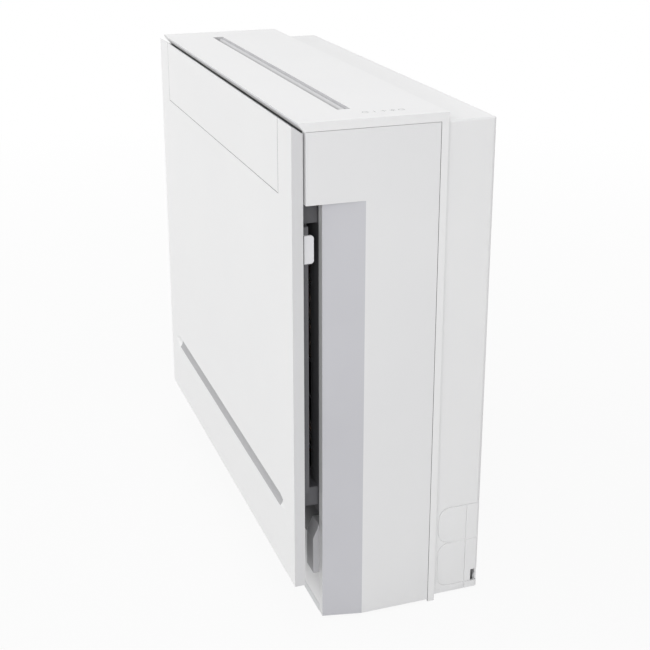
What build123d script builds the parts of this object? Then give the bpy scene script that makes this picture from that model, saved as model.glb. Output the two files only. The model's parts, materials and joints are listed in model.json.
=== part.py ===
from build123d import *
import math
import os

# Monoblock air conditioner that stands low on a wall: both air circuits sit in one cabinet.
# Millimetres. +Z is up, the front panel looks to -Y, +X is to the right seen from the front.
# The origin lies on the floor under the middle of the overall box.

# Overall size
WIDTH = 693.0
DEPTH = 262.0
HEIGHT = 665.0
FOOT_HEIGHT = 3.0

# Walls and clearances
WALL = 2.5
SEAM = 0.5
RUNNING_CLEARANCE = 0.05
SOFT_CLEARANCE = 0.3
PRESS_CLEARANCE = 0.02

# Front panel
PANEL_WIDTH = 684.0
PANEL_THICKNESS = 14.0
PANEL_BOTTOM = 60.0
PANEL_TOP = 660.5
PANEL_MITRE = 9.0
PANEL_SKIN = 3.0
PANEL_RIM = 8.0
GROOVE_LENGTH = 616.0
GROOVE_HEIGHT = 18.0
GROOVE_DEPTH = 4.0
GROOVE_Z = 155.0
GROOVE_END = 26.0
OUTLINE_WIDTH = 580.0
OUTLINE_BOTTOM = 569.0
OUTLINE_LINE = 0.8
OUTLINE_DEPTH = 0.5

# Top cover
CAP_THICKNESS = 3.0
CAP_BAND = 11.0
CAP_FRONT_SETBACK = 7.0
CAP_REAR = 62.7
CAP_NOSE = 2.0
CAP_MITRE = 9.0
LEG_DEPTH = 9.2
LEG_FLANGE = 9.0
SLOT_LENGTH = 582.0
SLOT_FRONT = -57.0
SLOT_WIDTH = 16.5
THROAT_DEPTH = 14.0
THROAT_WALL = 2.0

# Side panels
SIDE_BOTTOM = 3.6
LIP_X = 335.6
LIP_Y = -91.6
CREASE_Y = -41.0
RECESS_TOP = 567.0
RETURN_FLANGE = 13.0
SOFFIT_INNER_X = 296.0

# Front frame behind the panel
FRAME_SIDE_GAP = 0.5
FRAME_KICK_TOP = 150.0
FRAME_KICK_BOTTOM = 58.0
FRAME_KICK_Y = -72.0
BASE_LIP_TOP = 13.0
INLET_HALF_WIDTH = 292.0
INLET_BOTTOM = 196.0
INLET_TOP = 500.0
INLET_BAR = 3.0
INLET_BARS_ACROSS = 13
INLET_BARS_UP = 5

# Filters and their rails
FILTER_THICKNESS = 6.0
FILTER_Y = -110.5
FILTER_BOTTOM = 186.0
FILTER_TOP = 537.0
FILTER_OUTER_X = 331.0
FILTER_INNER_X = 3.0
FILTER_RIM = 8.0
FILTER_RIB = 2.0
FILTER_RIBS_ACROSS = 7
FILTER_RIBS_UP = 6
MESH_THICKNESS = 0.6
TAB_HEIGHT = 35.0
TAB_TOP = 527.0
TAB_DEPTH = 12.0
TAB_THICKNESS = 3.0
RAIL_HALF_LENGTH = 318.0
RAIL_LIP = 1.6
RAIL_GRIP = 5.0
RAIL_UPPER_TOP = 565.0
RAIL_LOWER_BOTTOM = 160.0

# Outlet flap
FLAP_LENGTH = 576.0
FLAP_CHORD = 13.0
FLAP_THICKNESS = 1.8
FLAP_RISE = 1.6
FLAP_PIVOT_Y = -42.5
FLAP_PIVOT_Z = 660.0
FLAP_REST_DROP = 60.0
FLAP_SWING_ROOM = 6.0
FLAP_PIN_RADIUS = 1.5
FLAP_PIN_LENGTH = 5.0
FLAP_DRIVE_LENGTH = 11.0
FLAP_MOTOR_LENGTH = 16.0
FLAP_MOTOR_DEPTH = 20.0
FLAP_MOTOR_HEIGHT = 18.0

# Indoor fan
ROOM_FAN_Y = -42.0
ROOM_FAN_Z = 566.0
ROOM_FAN_RADIUS = 42.0
ROOM_FAN_LEFT = -290.0
ROOM_FAN_RIGHT = 225.0
ROOM_FAN_BLADES = 24
ROOM_FAN_DISCS = 5
ROOM_FAN_DISC = 2.0
ROOM_BLADE_CHORD = 13.0
ROOM_BLADE_THICKNESS = 1.4
ROOM_BLADE_PITCH = 28.0
SHAFT_GRIP = 20.0
ROOM_SHAFT_RADIUS = 4.0
SCROLL_CLEARANCE = 5.0
SCROLL_WALL = 3.0
END_PLATE = 4.0
ROOM_MOTOR_RADIUS = 36.0
ROOM_MOTOR_LENGTH = 60.0
BEARING_RADIUS = 11.0
BEARING_LENGTH = 9.0

# Heat exchangers
TUBE_RADIUS = 3.5
TUBE_PITCH = 21.0
COIL_ROWS = 2
FIN_THICKNESS = 1.0
FIN_PITCH = 20.0
ROOM_COIL_LEFT = -286.0
ROOM_COIL_RIGHT = 214.0
ROOM_COIL_DEPTH = 34.0
ROOM_COIL_BOTTOM = 190.0
ROOM_COIL_TUBES = 28
REAR_COIL_LEFT = -318.0
REAR_COIL_RIGHT = -58.0
REAR_COIL_DEPTH = 36.0
REAR_COIL_BOTTOM = 226.0
REAR_COIL_TUBES = 34
COIL_PLATE = 1.5
COIL_OVERHANG = 6.0

# Bulkhead between the room side and the outdoor side
BULKHEAD_Y = 10.0
BULKHEAD_THICKNESS = 2.0
BULKHEAD_TOP = 640.0
PIPE_PORT_X = 236.0
PIPE_PORT_Z = 312.0
PIPE_PORT_WIDTH = 60.0
PIPE_PORT_HEIGHT = 40.0

# Rear cover
REAR_HALF_WIDTH = 337.3
REAR_TOP = 652.8
REAR_FRONT = 62.9
REAR_CORNER = 6.0
DUCT_BORE_RADIUS = 80.0
DUCT_SPACING = 293.0
DUCT_MIDDLE_X = -53.5
DUCT_Z = 118.0
COLLAR_WALL = 2.5
COLLAR_LENGTH = 24.0
COLLAR_FLANGE = 5.0
KNOCK_OUT_TOP = 132.0
KNOCK_OUT_MIDDLE = 79.0
KNOCK_OUT_BOTTOM = 12.6
KNOCK_OUT_FRONT = 69.5
KNOCK_OUT_CORNER = 17.0
KNOCK_OUT_LINE = 1.4
KNOCK_OUT_SCORE = 1.2
SPLIT_Y = 109.6
NOTCH_BOTTOM = 12.0
NOTCH_TOP = 30.0
NOTCH_DEPTH = 11.0
BRACKET_RECESS = 7.0
BRACKET_HALF_WIDTH = 270.0
BRACKET_BOTTOM = 560.0
BRACKET_TOP = 620.0
BRACKET_SHEET = 2.0
BRACKET_HOLE_RADIUS = 4.0
BRACKET_HOLE_SPACING_X = 400.0
BRACKET_HOLE_SPACING_Z = 30.0
HOOK_WIDTH = 40.0
HOOK_SPACING = 460.0

# Outdoor fan
REAR_FAN_X = 112.0
REAR_FAN_Z = 432.0
REAR_FAN_RADIUS = 88.0
REAR_FAN_FRONT = 34.0
REAR_FAN_LENGTH = 66.0
REAR_FAN_BLADES = 28
REAR_FAN_DISC = 2.5
REAR_BLADE_THICKNESS = 2.0
REAR_BLADE_CHORD = 17.0
REAR_BLADE_PITCH = 35.0
REAR_SHAFT_RADIUS = 5.0
REAR_MOTOR_RADIUS = 44.0
REAR_MOTOR_LENGTH = 44.0
VOLUTE_WALL = 2.5
VOLUTE_GAP = 18.0
VOLUTE_OFFSET = 6.0
VOLUTE_END_GAP = 4.0
CHUTE_WIDTH = 116.0
CHUTE_BOTTOM = 206.0

# Compressor
COMPRESSOR_X = 240.0
COMPRESSOR_Y = 69.0
COMPRESSOR_RADIUS = 53.0
COMPRESSOR_HEIGHT = 230.0
COMPRESSOR_BOTTOM = 24.0
COMPRESSOR_FOOT_RADIUS = 46.0
ACCUMULATOR_RADIUS = 16.0
ACCUMULATOR_HEIGHT = 130.0
ACCUMULATOR_X = 315.0
ACCUMULATOR_Z = 70.0
PIPE_RADIUS = 4.0
CAPILLARY_RADIUS = 1.5

# Electronics
BOX_LEFT = 250.0
BOX_RIGHT = 330.0
BOX_REAR = 100.0
BOX_BOTTOM = 380.0
BOX_TOP = 600.0
BOX_WALL = 2.0
POST_RADIUS = 6.0

# Touch console
CONSOLE_LEFT = 300.0
CONSOLE_RIGHT = 331.0
CONSOLE_FRONT = -32.0
CONSOLE_REAR = 25.0
CONSOLE_BOARD = 1.6

# Base and small parts
BASE_SHEET = 1.5
BASE_WALL_TOP = 20.0
FOOT_RADIUS = 9.0
SCREW_HEAD_RADIUS = 4.0
SCREW_HEAD_HEIGHT = 2.0
SCREW_SHANK_RADIUS = 1.8
SCREW_SHANK_LENGTH = 8.0
TRAY_DEPTH = 60.0
TRAY_HEIGHT = 22.0
TRAY_WALL = 1.5
SPOUT_X = -250.0
SPOUT_Y = -44.0
CATCH_RADIUS = 6.0
CATCH_X = 200.0
CATCH_LOW_Z = 95.0
CATCH_HIGH_Z = 612.0
LEG_CHANNEL = 12.0
FOOT_X = 300.0
FOOT_FRONT_Y = -78.0
FOOT_REAR_Y = 105.0
SPOUT_RADIUS = 8.0
SPOUT_WALL = 1.5
SPOUT_LENGTH = 20.0
GLAND_RADIUS = 8.0
GLAND_BORE = 4.0

HALF_WIDTH = WIDTH / 2
FRONT_Y = -DEPTH / 2
REAR_Y = DEPTH / 2
PANEL_REAR = FRONT_Y + PANEL_THICKNESS
CAP_BOTTOM = HEIGHT - CAP_BAND
CAP_FRONT = FRONT_Y + CAP_FRONT_SETBACK
CAP_MITRE_REAR = CAP_FRONT + CAP_MITRE * 0.8
LEG_FRONT = CAP_REAR - LEG_DEPTH
SIDE_TOP = CAP_BOTTOM - SEAM
SIDE_REAR = LEG_FRONT - SEAM
SIDE_FRONT = PANEL_REAR + 1.8
BASE_FLOOR = FOOT_HEIGHT + BASE_SHEET

FRAME_BACK = LIP_Y + WALL
ROOM_COIL_FRONT = FRAME_BACK + TRAY_WALL + SEAM
OUTDOOR_FRONT = BULKHEAD_Y + BULKHEAD_THICKNESS
REAR_COIL_FRONT = OUTDOOR_FRONT + SEAM
BOX_FRONT = OUTDOOR_FRONT
DUCT_CENTRES = (DUCT_MIDDLE_X - DUCT_SPACING / 2, DUCT_MIDDLE_X + DUCT_SPACING / 2)

nodes = {}


def save(name, shape):
    """Keep a node's shape under its name."""
    nodes[name] = shape


def block(x0, x1, y0, y1, z0, z1):
    """Box between two corners."""
    return Pos((x0 + x1) / 2, (y0 + y1) / 2, (z0 + z1) / 2) * Box(x1 - x0, y1 - y0, z1 - z0)


def prism_x(points, x0, x1):
    """Outline in (Y, Z) drawn out along X."""
    return extrude(Plane.YZ.offset(x0) * make_face(Polyline(*points, close=True)), amount=x1 - x0)


def prism_y(points, y0, y1):
    """Outline in (X, Z) drawn out along Y."""
    return extrude(Plane.XZ.offset(-y0) * make_face(Polyline(*points, close=True)), amount=-(y1 - y0))


def prism_z(points, z0, z1):
    """Outline in (X, Y) drawn out along Z."""
    return extrude(Plane.XY.offset(z0) * make_face(Polyline(*points, close=True)), amount=z1 - z0)


def rod_x(radius, x0, x1, y, z):
    """Round rod along X."""
    return Pos((x0 + x1) / 2, y, z) * Rot(0, 90, 0) * Cylinder(radius, abs(x1 - x0))


def rod_y(radius, y0, y1, x, z):
    """Round rod along Y."""
    return Pos(x, (y0 + y1) / 2, z) * Rot(90, 0, 0) * Cylinder(radius, abs(y1 - y0))


def rod_z(radius, z0, z1, x, y):
    """Round rod along Z."""
    return Pos(x, y, (z0 + z1) / 2) * Cylinder(radius, abs(z1 - z0))


def mirrored(shape):
    """The same piece on the left side."""
    return mirror(shape, about=Plane.YZ)


def pipe(points, radius, bend):
    """Round rod along runs joined by equal arcs."""
    path = FilletPolyline(*points, radius=bend)
    start = Plane(origin=path @ 0, z_dir=path % 0)
    return sweep(start * Circle(radius), path=path)


def mitred_panel():
    """Front panel: a dished plate with a mitred top, a hand groove and a fine outline."""
    half = PANEL_WIDTH / 2
    plate = prism_x(
        [
            (FRONT_Y, PANEL_BOTTOM),
            (FRONT_Y, PANEL_TOP),
            (PANEL_REAR, PANEL_TOP - PANEL_MITRE),
            (PANEL_REAR, PANEL_BOTTOM),
        ],
        -half,
        half,
    )
    hollow = block(
        -half + PANEL_RIM, half - PANEL_RIM, FRONT_Y + PANEL_SKIN, PANEL_REAR + 1,
        PANEL_BOTTOM + PANEL_RIM, PANEL_TOP - PANEL_MITRE - PANEL_RIM,
    )
    backing = GROOVE_HEIGHT / 2 + PANEL_SKIN
    hollow -= block(-half, half, FRONT_Y, FRONT_Y + PANEL_SKIN + GROOVE_DEPTH, GROOVE_Z - backing, GROOVE_Z + backing)
    radius = (GROOVE_HEIGHT**2 / 4 + GROOVE_DEPTH**2) / (2 * GROOVE_DEPTH)
    groove_half = GROOVE_LENGTH / 2 - GROOVE_END
    groove_y = FRONT_Y - radius + GROOVE_DEPTH
    groove = rod_x(radius, -groove_half, groove_half, groove_y, GROOVE_Z)
    for side in (-1, 1):
        tip = Pos(side * groove_half, groove_y, GROOVE_Z) * Rot(0, side * 90, 0)
        groove += tip * Pos(0, 0, GROOVE_END / 2) * Cone(radius, radius - GROOVE_DEPTH, GROOVE_END)
    plate = plate - hollow - groove
    line = OUTLINE_LINE
    left = -OUTLINE_WIDTH / 2
    for x in (left, -left - line):
        plate -= block(x, x + line, FRONT_Y - 1, FRONT_Y + OUTLINE_DEPTH, OUTLINE_BOTTOM, PANEL_TOP + 1)
    plate -= block(left, -left, FRONT_Y - 1, FRONT_Y + OUTLINE_DEPTH, OUTLINE_BOTTOM, OUTLINE_BOTTOM + line)
    return plate


def top_cover():
    """Cap with side bands, a rear flange, rear legs down to the floor and the outlet slot."""
    cap = prism_x(
        [
            (CAP_FRONT, HEIGHT),
            (CAP_FRONT, HEIGHT - CAP_NOSE),
            (CAP_MITRE_REAR, HEIGHT - CAP_NOSE - CAP_MITRE),
            (CAP_MITRE_REAR + WALL, HEIGHT - CAP_NOSE - CAP_MITRE),
            (CAP_FRONT + 2 * WALL, HEIGHT - CAP_THICKNESS),
            (CAP_REAR - WALL, HEIGHT - CAP_THICKNESS),
            (CAP_REAR - WALL, CAP_BOTTOM),
            (CAP_REAR, CAP_BOTTOM),
            (CAP_REAR, HEIGHT),
        ],
        -HALF_WIDTH,
        HALF_WIDTH,
    )
    slot_rear = SLOT_FRONT + SLOT_WIDTH
    half = SLOT_LENGTH / 2
    band = prism_x(
        [
            (CAP_FRONT, HEIGHT),
            (CAP_FRONT, HEIGHT - CAP_NOSE),
            (CAP_MITRE_REAR, HEIGHT - CAP_NOSE - CAP_MITRE),
            (CAP_REAR, CAP_BOTTOM),
            (CAP_REAR, HEIGHT),
        ],
        HALF_WIDTH - WALL,
        HALF_WIDTH,
    )
    leg = block(HALF_WIDTH - WALL, HALF_WIDTH, LEG_FRONT, CAP_REAR, 0, HEIGHT - WALL)
    leg += block(HALF_WIDTH - LEG_FLANGE, HALF_WIDTH, CAP_REAR - WALL, CAP_REAR, 0, HEIGHT - WALL)
    throat = block(
        -half - THROAT_WALL, half + THROAT_WALL, SLOT_FRONT - THROAT_WALL, slot_rear + THROAT_WALL,
        HEIGHT - THROAT_DEPTH, HEIGHT - 1,
    )
    cap += band + mirrored(band) + leg + mirrored(leg) + throat
    cap -= block(-half, half, SLOT_FRONT, slot_rear, HEIGHT - THROAT_DEPTH - 1, HEIGHT + 1)
    for side in (-1, 1):
        cap -= rod_x(FLAP_PIN_RADIUS + RUNNING_CLEARANCE, side * (half - 1), side * (half + THROAT_WALL + 1),
                     FLAP_PIVOT_Y, FLAP_PIVOT_Z)
    return cap


def side_panel():
    """Right side panel: flush rear part, sloped face down to the intake lip, and a soffit over it."""
    t = WALL
    lower = prism_z(
        [
            (LIP_X, LIP_Y),
            (HALF_WIDTH, CREASE_Y),
            (HALF_WIDTH, SIDE_REAR),
            (HALF_WIDTH - t, SIDE_REAR),
            (HALF_WIDTH - t, CREASE_Y + t / 2),
            (LIP_X - t, LIP_Y + t),
            (LIP_X - RETURN_FLANGE, LIP_Y + t),
            (LIP_X - RETURN_FLANGE, LIP_Y),
        ],
        SIDE_BOTTOM,
        RECESS_TOP,
    )
    upper = prism_z(
        [
            (HALF_WIDTH, SIDE_FRONT),
            (HALF_WIDTH, SIDE_REAR),
            (HALF_WIDTH - t, SIDE_REAR),
            (HALF_WIDTH - t, SIDE_FRONT + t),
            (HALF_WIDTH - RETURN_FLANGE, SIDE_FRONT + t),
            (HALF_WIDTH - RETURN_FLANGE, SIDE_FRONT),
        ],
        RECESS_TOP,
        SIDE_TOP,
    )
    soffit = prism_z(
        [
            (HALF_WIDTH, SIDE_FRONT),
            (HALF_WIDTH, CREASE_Y),
            (LIP_X - t, LIP_Y + 2 * t),
            (SOFFIT_INNER_X, LIP_Y + 2 * t),
            (SOFFIT_INNER_X, SIDE_FRONT),
        ],
        RECESS_TOP,
        RECESS_TOP + t,
    )
    return lower + upper + soffit


def front_frame():
    """Room-side front wall behind the panel, with the inlet grille and the stepped foot."""
    half = LIP_X - RETURN_FLANGE - FRAME_SIDE_GAP
    t = WALL
    wall = prism_x(
        [
            (LIP_Y, RECESS_TOP - SEAM),
            (LIP_Y, FRAME_KICK_TOP),
            (FRAME_KICK_Y, FRAME_KICK_TOP - 18),
            (FRAME_KICK_Y, FRAME_KICK_BOTTOM),
            (LIP_Y, BASE_LIP_TOP + SEAM),
            (LIP_Y + t, BASE_LIP_TOP + SEAM),
            (FRAME_KICK_Y + t, FRAME_KICK_BOTTOM),
            (FRAME_KICK_Y + t, FRAME_KICK_TOP - 16),
            (LIP_Y + t, FRAME_KICK_TOP + 2),
            (LIP_Y + t, RECESS_TOP - SEAM),
        ],
        -half,
        half,
    )
    shelf_z = RECESS_TOP + SEAM
    shelf_half = SOFFIT_INNER_X - SEAM
    top_half = HALF_WIDTH - RETURN_FLANGE - SEAM
    wall += block(-shelf_half, shelf_half, LIP_Y, LIP_Y + t, RECESS_TOP - 1, shelf_z + t)
    wall += block(-shelf_half, shelf_half, SIDE_FRONT, LIP_Y + t, shelf_z, shelf_z + t)
    wall += block(-top_half, top_half, SIDE_FRONT, SIDE_FRONT + t, shelf_z + t, CAP_BOTTOM - SEAM)
    wall += block(-shelf_half, shelf_half, SIDE_FRONT, SIDE_FRONT + t, shelf_z, shelf_z + 2 * t)
    wall -= block(-INLET_HALF_WIDTH, INLET_HALF_WIDTH, LIP_Y - 1, LIP_Y + t + 1, INLET_BOTTOM, INLET_TOP)
    step = 2 * INLET_HALF_WIDTH / (INLET_BARS_ACROSS + 1)
    for i in range(1, INLET_BARS_ACROSS + 1):
        x = -INLET_HALF_WIDTH + i * step
        wall += block(x - INLET_BAR / 2, x + INLET_BAR / 2, LIP_Y, LIP_Y + t, INLET_BOTTOM - 1, INLET_TOP + 1)
    rise = (INLET_TOP - INLET_BOTTOM) / (INLET_BARS_UP + 1)
    for i in range(1, INLET_BARS_UP + 1):
        z = INLET_BOTTOM + i * rise
        wall += block(-INLET_HALF_WIDTH - 1, INLET_HALF_WIDTH + 1, LIP_Y, LIP_Y + t,
                      z - INLET_BAR / 2, z + INLET_BAR / 2)
    return wall


def intake_foot():
    """Faceted block at the lower end of the side intake, seated on the front frame."""
    x1 = LIP_X - RETURN_FLANGE - FRAME_SIDE_GAP
    x0 = x1 - 26
    body = prism_y(
        [
            (x0, FRAME_KICK_BOTTOM + 4),
            (x1, FRAME_KICK_BOTTOM + 4),
            (x1, FRAME_KICK_TOP - 22),
            (x1 - 9, FRAME_KICK_TOP - 9),
            (x0, FRAME_KICK_TOP - 9),
        ],
        LIP_Y - 8,
        FRAME_KICK_Y,
    )
    cutter = prism_x(
        [
            (LIP_Y - 9, FRAME_KICK_TOP - 40),
            (LIP_Y - 9, FRAME_KICK_TOP),
            (FRAME_KICK_Y + 1, FRAME_KICK_TOP),
            (FRAME_KICK_Y + 1, FRAME_KICK_TOP - 19),
            (LIP_Y, FRAME_KICK_TOP - 19),
        ],
        x0 - 1,
        x1 + 1,
    )
    return body - cutter


def filter_rail(upper):
    """Channel that the two filters slide in, fixed to the front frame."""
    grip = FILTER_THICKNESS / 2 + SOFT_CLEARANCE
    front = FILTER_Y - grip - RAIL_LIP
    rear = FILTER_Y + grip + RAIL_LIP
    if upper:
        edge = FILTER_TOP + SOFT_CLEARANCE
        shape = block(-RAIL_HALF_LENGTH, RAIL_HALF_LENGTH, front, LIP_Y, edge, RAIL_UPPER_TOP)
        lips = (edge - RAIL_GRIP, edge)
    else:
        edge = FILTER_BOTTOM - SOFT_CLEARANCE
        shape = block(-RAIL_HALF_LENGTH, RAIL_HALF_LENGTH, front, LIP_Y, RAIL_LOWER_BOTTOM, edge)
        lips = (edge, edge + RAIL_GRIP)
    for y in (front, rear - RAIL_LIP):
        shape += block(-RAIL_HALF_LENGTH, RAIL_HALF_LENGTH, y, y + RAIL_LIP, *lips)
    return shape


def filter_frame():
    """Right filter frame: a rimmed grid with its pull tab at the outer end."""
    y0 = FILTER_Y - FILTER_THICKNESS / 2
    y1 = FILTER_Y + FILTER_THICKNESS / 2
    frame = block(FILTER_INNER_X, FILTER_OUTER_X, y0, y1, FILTER_BOTTOM, FILTER_TOP)
    inner = (FILTER_INNER_X + FILTER_RIM, FILTER_OUTER_X - FILTER_RIM)
    height = (FILTER_BOTTOM + FILTER_RIM, FILTER_TOP - FILTER_RIM)
    frame -= block(*inner, y0 - 1, y1 + 1, *height)
    step = (inner[1] - inner[0]) / (FILTER_RIBS_ACROSS + 1)
    for i in range(1, FILTER_RIBS_ACROSS + 1):
        x = inner[0] + i * step
        frame += block(x - FILTER_RIB / 2, x + FILTER_RIB / 2, y0 + 1, y1 - 1, height[0] - 1, height[1] + 1)
    rise = (height[1] - height[0]) / (FILTER_RIBS_UP + 1)
    for i in range(1, FILTER_RIBS_UP + 1):
        z = height[0] + i * rise
        frame += block(inner[0] - 1, inner[1] + 1, y0 + 1, y1 - 1, z - FILTER_RIB / 2, z + FILTER_RIB / 2)
    tab = block(FILTER_OUTER_X, FILTER_OUTER_X + TAB_THICKNESS, y0, y0 + TAB_DEPTH, TAB_TOP - TAB_HEIGHT, TAB_TOP)
    tab = fillet(tab.edges().filter_by(Axis.X).group_by(Axis.Y)[-1], TAB_DEPTH / 3)
    return frame + tab


def filter_mesh():
    """Net of the right filter, laid on the back of its grid."""
    y0 = FILTER_Y + FILTER_THICKNESS / 2 - 1
    return block(FILTER_INNER_X + FILTER_RIM, FILTER_OUTER_X - FILTER_RIM, y0, y0 + MESH_THICKNESS,
                 FILTER_BOTTOM + FILTER_RIM, FILTER_TOP - FILTER_RIM)


def flap():
    """Outlet flap with its two end pins, open at rest as in the picture."""
    half = FLAP_LENGTH / 2
    top = FLAP_RISE + FLAP_THICKNESS
    blade = block(-half, half, -FLAP_CHORD, FLAP_PIN_RADIUS, FLAP_RISE, top)
    blade += block(-half, half, -FLAP_PIN_RADIUS, FLAP_PIN_RADIUS, 0, top)
    blade += rod_x(FLAP_PIN_RADIUS, -half - FLAP_PIN_LENGTH, half + FLAP_DRIVE_LENGTH, 0, 0)
    return Pos(0, FLAP_PIVOT_Y, FLAP_PIVOT_Z) * Rot(FLAP_REST_DROP, 0, 0) * blade


def rear_cover():
    """Rear shell with rounded corners, duct holes, scored knock-outs, a cable notch and a bracket recess."""
    t = WALL
    half = REAR_HALF_WIDTH
    outer = block(-half, half, REAR_FRONT, REAR_Y, FOOT_HEIGHT, REAR_TOP)
    outer = fillet(outer.edges().filter_by(Axis.Z).group_by(Axis.Y)[-1], REAR_CORNER)
    outer = fillet(outer.edges().filter_by(Axis.X).group_by(Axis.Y)[-1].sort_by(Axis.Z)[-1], REAR_CORNER / 2)
    shell = outer - block(-half + t, half - t, REAR_FRONT - 1, REAR_Y - t, FOOT_HEIGHT - 1, REAR_TOP - t)
    recess_wall = block(-BRACKET_HALF_WIDTH - t, BRACKET_HALF_WIDTH + t, REAR_Y - BRACKET_RECESS - t, REAR_Y - t / 2,
                        BRACKET_BOTTOM - t, BRACKET_TOP + t)
    recess = block(-BRACKET_HALF_WIDTH, BRACKET_HALF_WIDTH, REAR_Y - BRACKET_RECESS, REAR_Y + 1,
                   BRACKET_BOTTOM, BRACKET_TOP)
    shell = shell + recess_wall - recess
    for x in DUCT_CENTRES:
        shell -= rod_y(DUCT_BORE_RADIUS + COLLAR_WALL + PRESS_CLEARANCE, REAR_Y - 2 * t, REAR_Y + 1, x, DUCT_Z)
    for side in (-1, 1):
        shell -= knock_out_lines(side)
        shell -= cable_notch(side, 0)
    return shell


def cable_notch(side, room):
    """Cutter of the notch that lets a cable out at a rear corner, with room all round."""
    inner = side * (REAR_HALF_WIDTH - 2 * WALL - room)
    outer = side * (REAR_HALF_WIDTH + WALL)
    return block(min(inner, outer), max(inner, outer), REAR_Y - NOTCH_DEPTH - room, REAR_Y + WALL,
                 NOTCH_BOTTOM - room, NOTCH_TOP + room)


def knock_out_lines(side):
    """Scored outlines of the two pipe knock-outs on one side, as a cutter."""
    x0 = side * (REAR_HALF_WIDTH - KNOCK_OUT_SCORE)
    x1 = side * (REAR_HALF_WIDTH + 1)
    low, high = min(x0, x1), max(x0, x1)
    cutter = None
    for bottom, top in ((KNOCK_OUT_BOTTOM, KNOCK_OUT_MIDDLE), (KNOCK_OUT_MIDDLE, KNOCK_OUT_TOP)):
        rim = block(low, high, KNOCK_OUT_FRONT, REAR_Y + KNOCK_OUT_CORNER, bottom, top)
        rim = fillet(rim.edges().filter_by(Axis.X).group_by(Axis.Y)[0], KNOCK_OUT_CORNER)
        line = KNOCK_OUT_LINE
        core = block(low - 1, high + 1, KNOCK_OUT_FRONT + line, REAR_Y + KNOCK_OUT_CORNER, bottom + line, top - line)
        core = fillet(core.edges().filter_by(Axis.X).group_by(Axis.Y)[0], KNOCK_OUT_CORNER - line)
        ring = rim - core
        cutter = ring if cutter is None else cutter + ring
    return cutter + block(low, high, SPLIT_Y, SPLIT_Y + KNOCK_OUT_LINE, FOOT_HEIGHT - 1, KNOCK_OUT_TOP)


def duct_collar(x):
    """Sleeve in the rear cover that a wall duct pushes into."""
    inner = DUCT_BORE_RADIUS
    outer = inner + COLLAR_WALL
    front = REAR_Y - WALL - COLLAR_LENGTH
    sleeve = rod_y(outer, front, REAR_Y, x, DUCT_Z)
    sleeve += rod_y(outer + COLLAR_FLANGE, REAR_Y - 2 * WALL, REAR_Y - WALL, x, DUCT_Z)
    return sleeve - rod_y(inner, front - 1, REAR_Y + 1, x, DUCT_Z)


def wall_bracket():
    """Steel wall plate with two hooks, lying in the recess of the rear cover."""
    x = BRACKET_HALF_WIDTH - 2
    front = REAR_Y - BRACKET_SHEET
    plate = block(-x, x, front, REAR_Y, BRACKET_BOTTOM + 2, BRACKET_TOP - 2)
    middle = (BRACKET_BOTTOM + BRACKET_TOP) / 2
    for side_x in (-1, 1):
        for side_z in (-1, 1):
            plate -= rod_y(BRACKET_HOLE_RADIUS, front - 1, REAR_Y + 1,
                           side_x * BRACKET_HOLE_SPACING_X / 2, middle + side_z * BRACKET_HOLE_SPACING_Z / 2)
        hook = side_x * HOOK_SPACING / 2
        plate += block(hook - HOOK_WIDTH / 2, hook + HOOK_WIDTH / 2, REAR_Y - BRACKET_RECESS, front,
                       BRACKET_TOP - 2 - BRACKET_SHEET, BRACKET_TOP - 2)
    return plate


def base_pan():
    """Base tray: floor, stepped front lip and upturned rims."""
    half = LIP_X - RETURN_FLANGE - FRAME_SIDE_GAP
    rear_half = REAR_HALF_WIDTH - WALL - SEAM
    t = BASE_SHEET
    floor = prism_z(
        [
            (-half, LIP_Y), (half, LIP_Y), (half, FRAME_KICK_Y), (rear_half, FRAME_KICK_Y),
            (rear_half, REAR_Y - WALL - SEAM), (-rear_half, REAR_Y - WALL - SEAM),
            (-rear_half, FRAME_KICK_Y), (-half, FRAME_KICK_Y),
        ],
        FOOT_HEIGHT,
        BASE_FLOOR,
    )
    lip = block(-half, half, LIP_Y, LIP_Y + WALL, FOOT_HEIGHT, BASE_LIP_TOP)
    back = block(-rear_half, rear_half, REAR_Y - WALL - SEAM - t, REAR_Y - WALL - SEAM, FOOT_HEIGHT, BASE_WALL_TOP)
    wing = block(rear_half - t, rear_half, FRAME_KICK_Y, REAR_Y - WALL - SEAM, FOOT_HEIGHT, BASE_WALL_TOP)
    tray = floor + lip + back + wing + mirrored(wing)
    for side in (-1, 1):
        tray -= cable_notch(side, SEAM)
    return tray - rod_z(SPOUT_RADIUS - SPOUT_WALL, 0, BASE_FLOOR + 1, SPOUT_X, SPOUT_Y)


def rubber_feet():
    """Four rubber feet under the base."""
    feet = [rod_z(FOOT_RADIUS, 0, FOOT_HEIGHT, x, y)
            for x in (-FOOT_X, FOOT_X) for y in (FOOT_FRONT_Y, FOOT_REAR_Y)]
    return Compound(children=feet)


def bulkhead():
    """Sheet wall between the room side and the outdoor side."""
    half = REAR_HALF_WIDTH - WALL - SEAM - BASE_SHEET
    wall = block(-half, half, BULKHEAD_Y, BULKHEAD_Y + BULKHEAD_THICKNESS, BASE_FLOOR, BULKHEAD_TOP)
    port = block(PIPE_PORT_X, PIPE_PORT_X + PIPE_PORT_WIDTH, BULKHEAD_Y - 1, BULKHEAD_Y + BULKHEAD_THICKNESS + 1,
                 PIPE_PORT_Z, PIPE_PORT_Z + PIPE_PORT_HEIGHT)
    return wall - port


def coil_centres(front, depth, bottom, tubes):
    """Tube centres (Y, Z) of a two-row staggered coil, in the order of the refrigerant's way."""
    pitch = depth / COIL_ROWS
    per_row = tubes // COIL_ROWS
    centres = []
    for row in range(COIL_ROWS):
        y = front + pitch * (row + 0.5)
        levels = [bottom + TUBE_PITCH * (i + 0.5 + 0.5 * row) for i in range(per_row)]
        levels = levels if row % 2 == 0 else levels[::-1]
        centres += [(y, z) for z in levels]
    return centres


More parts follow.
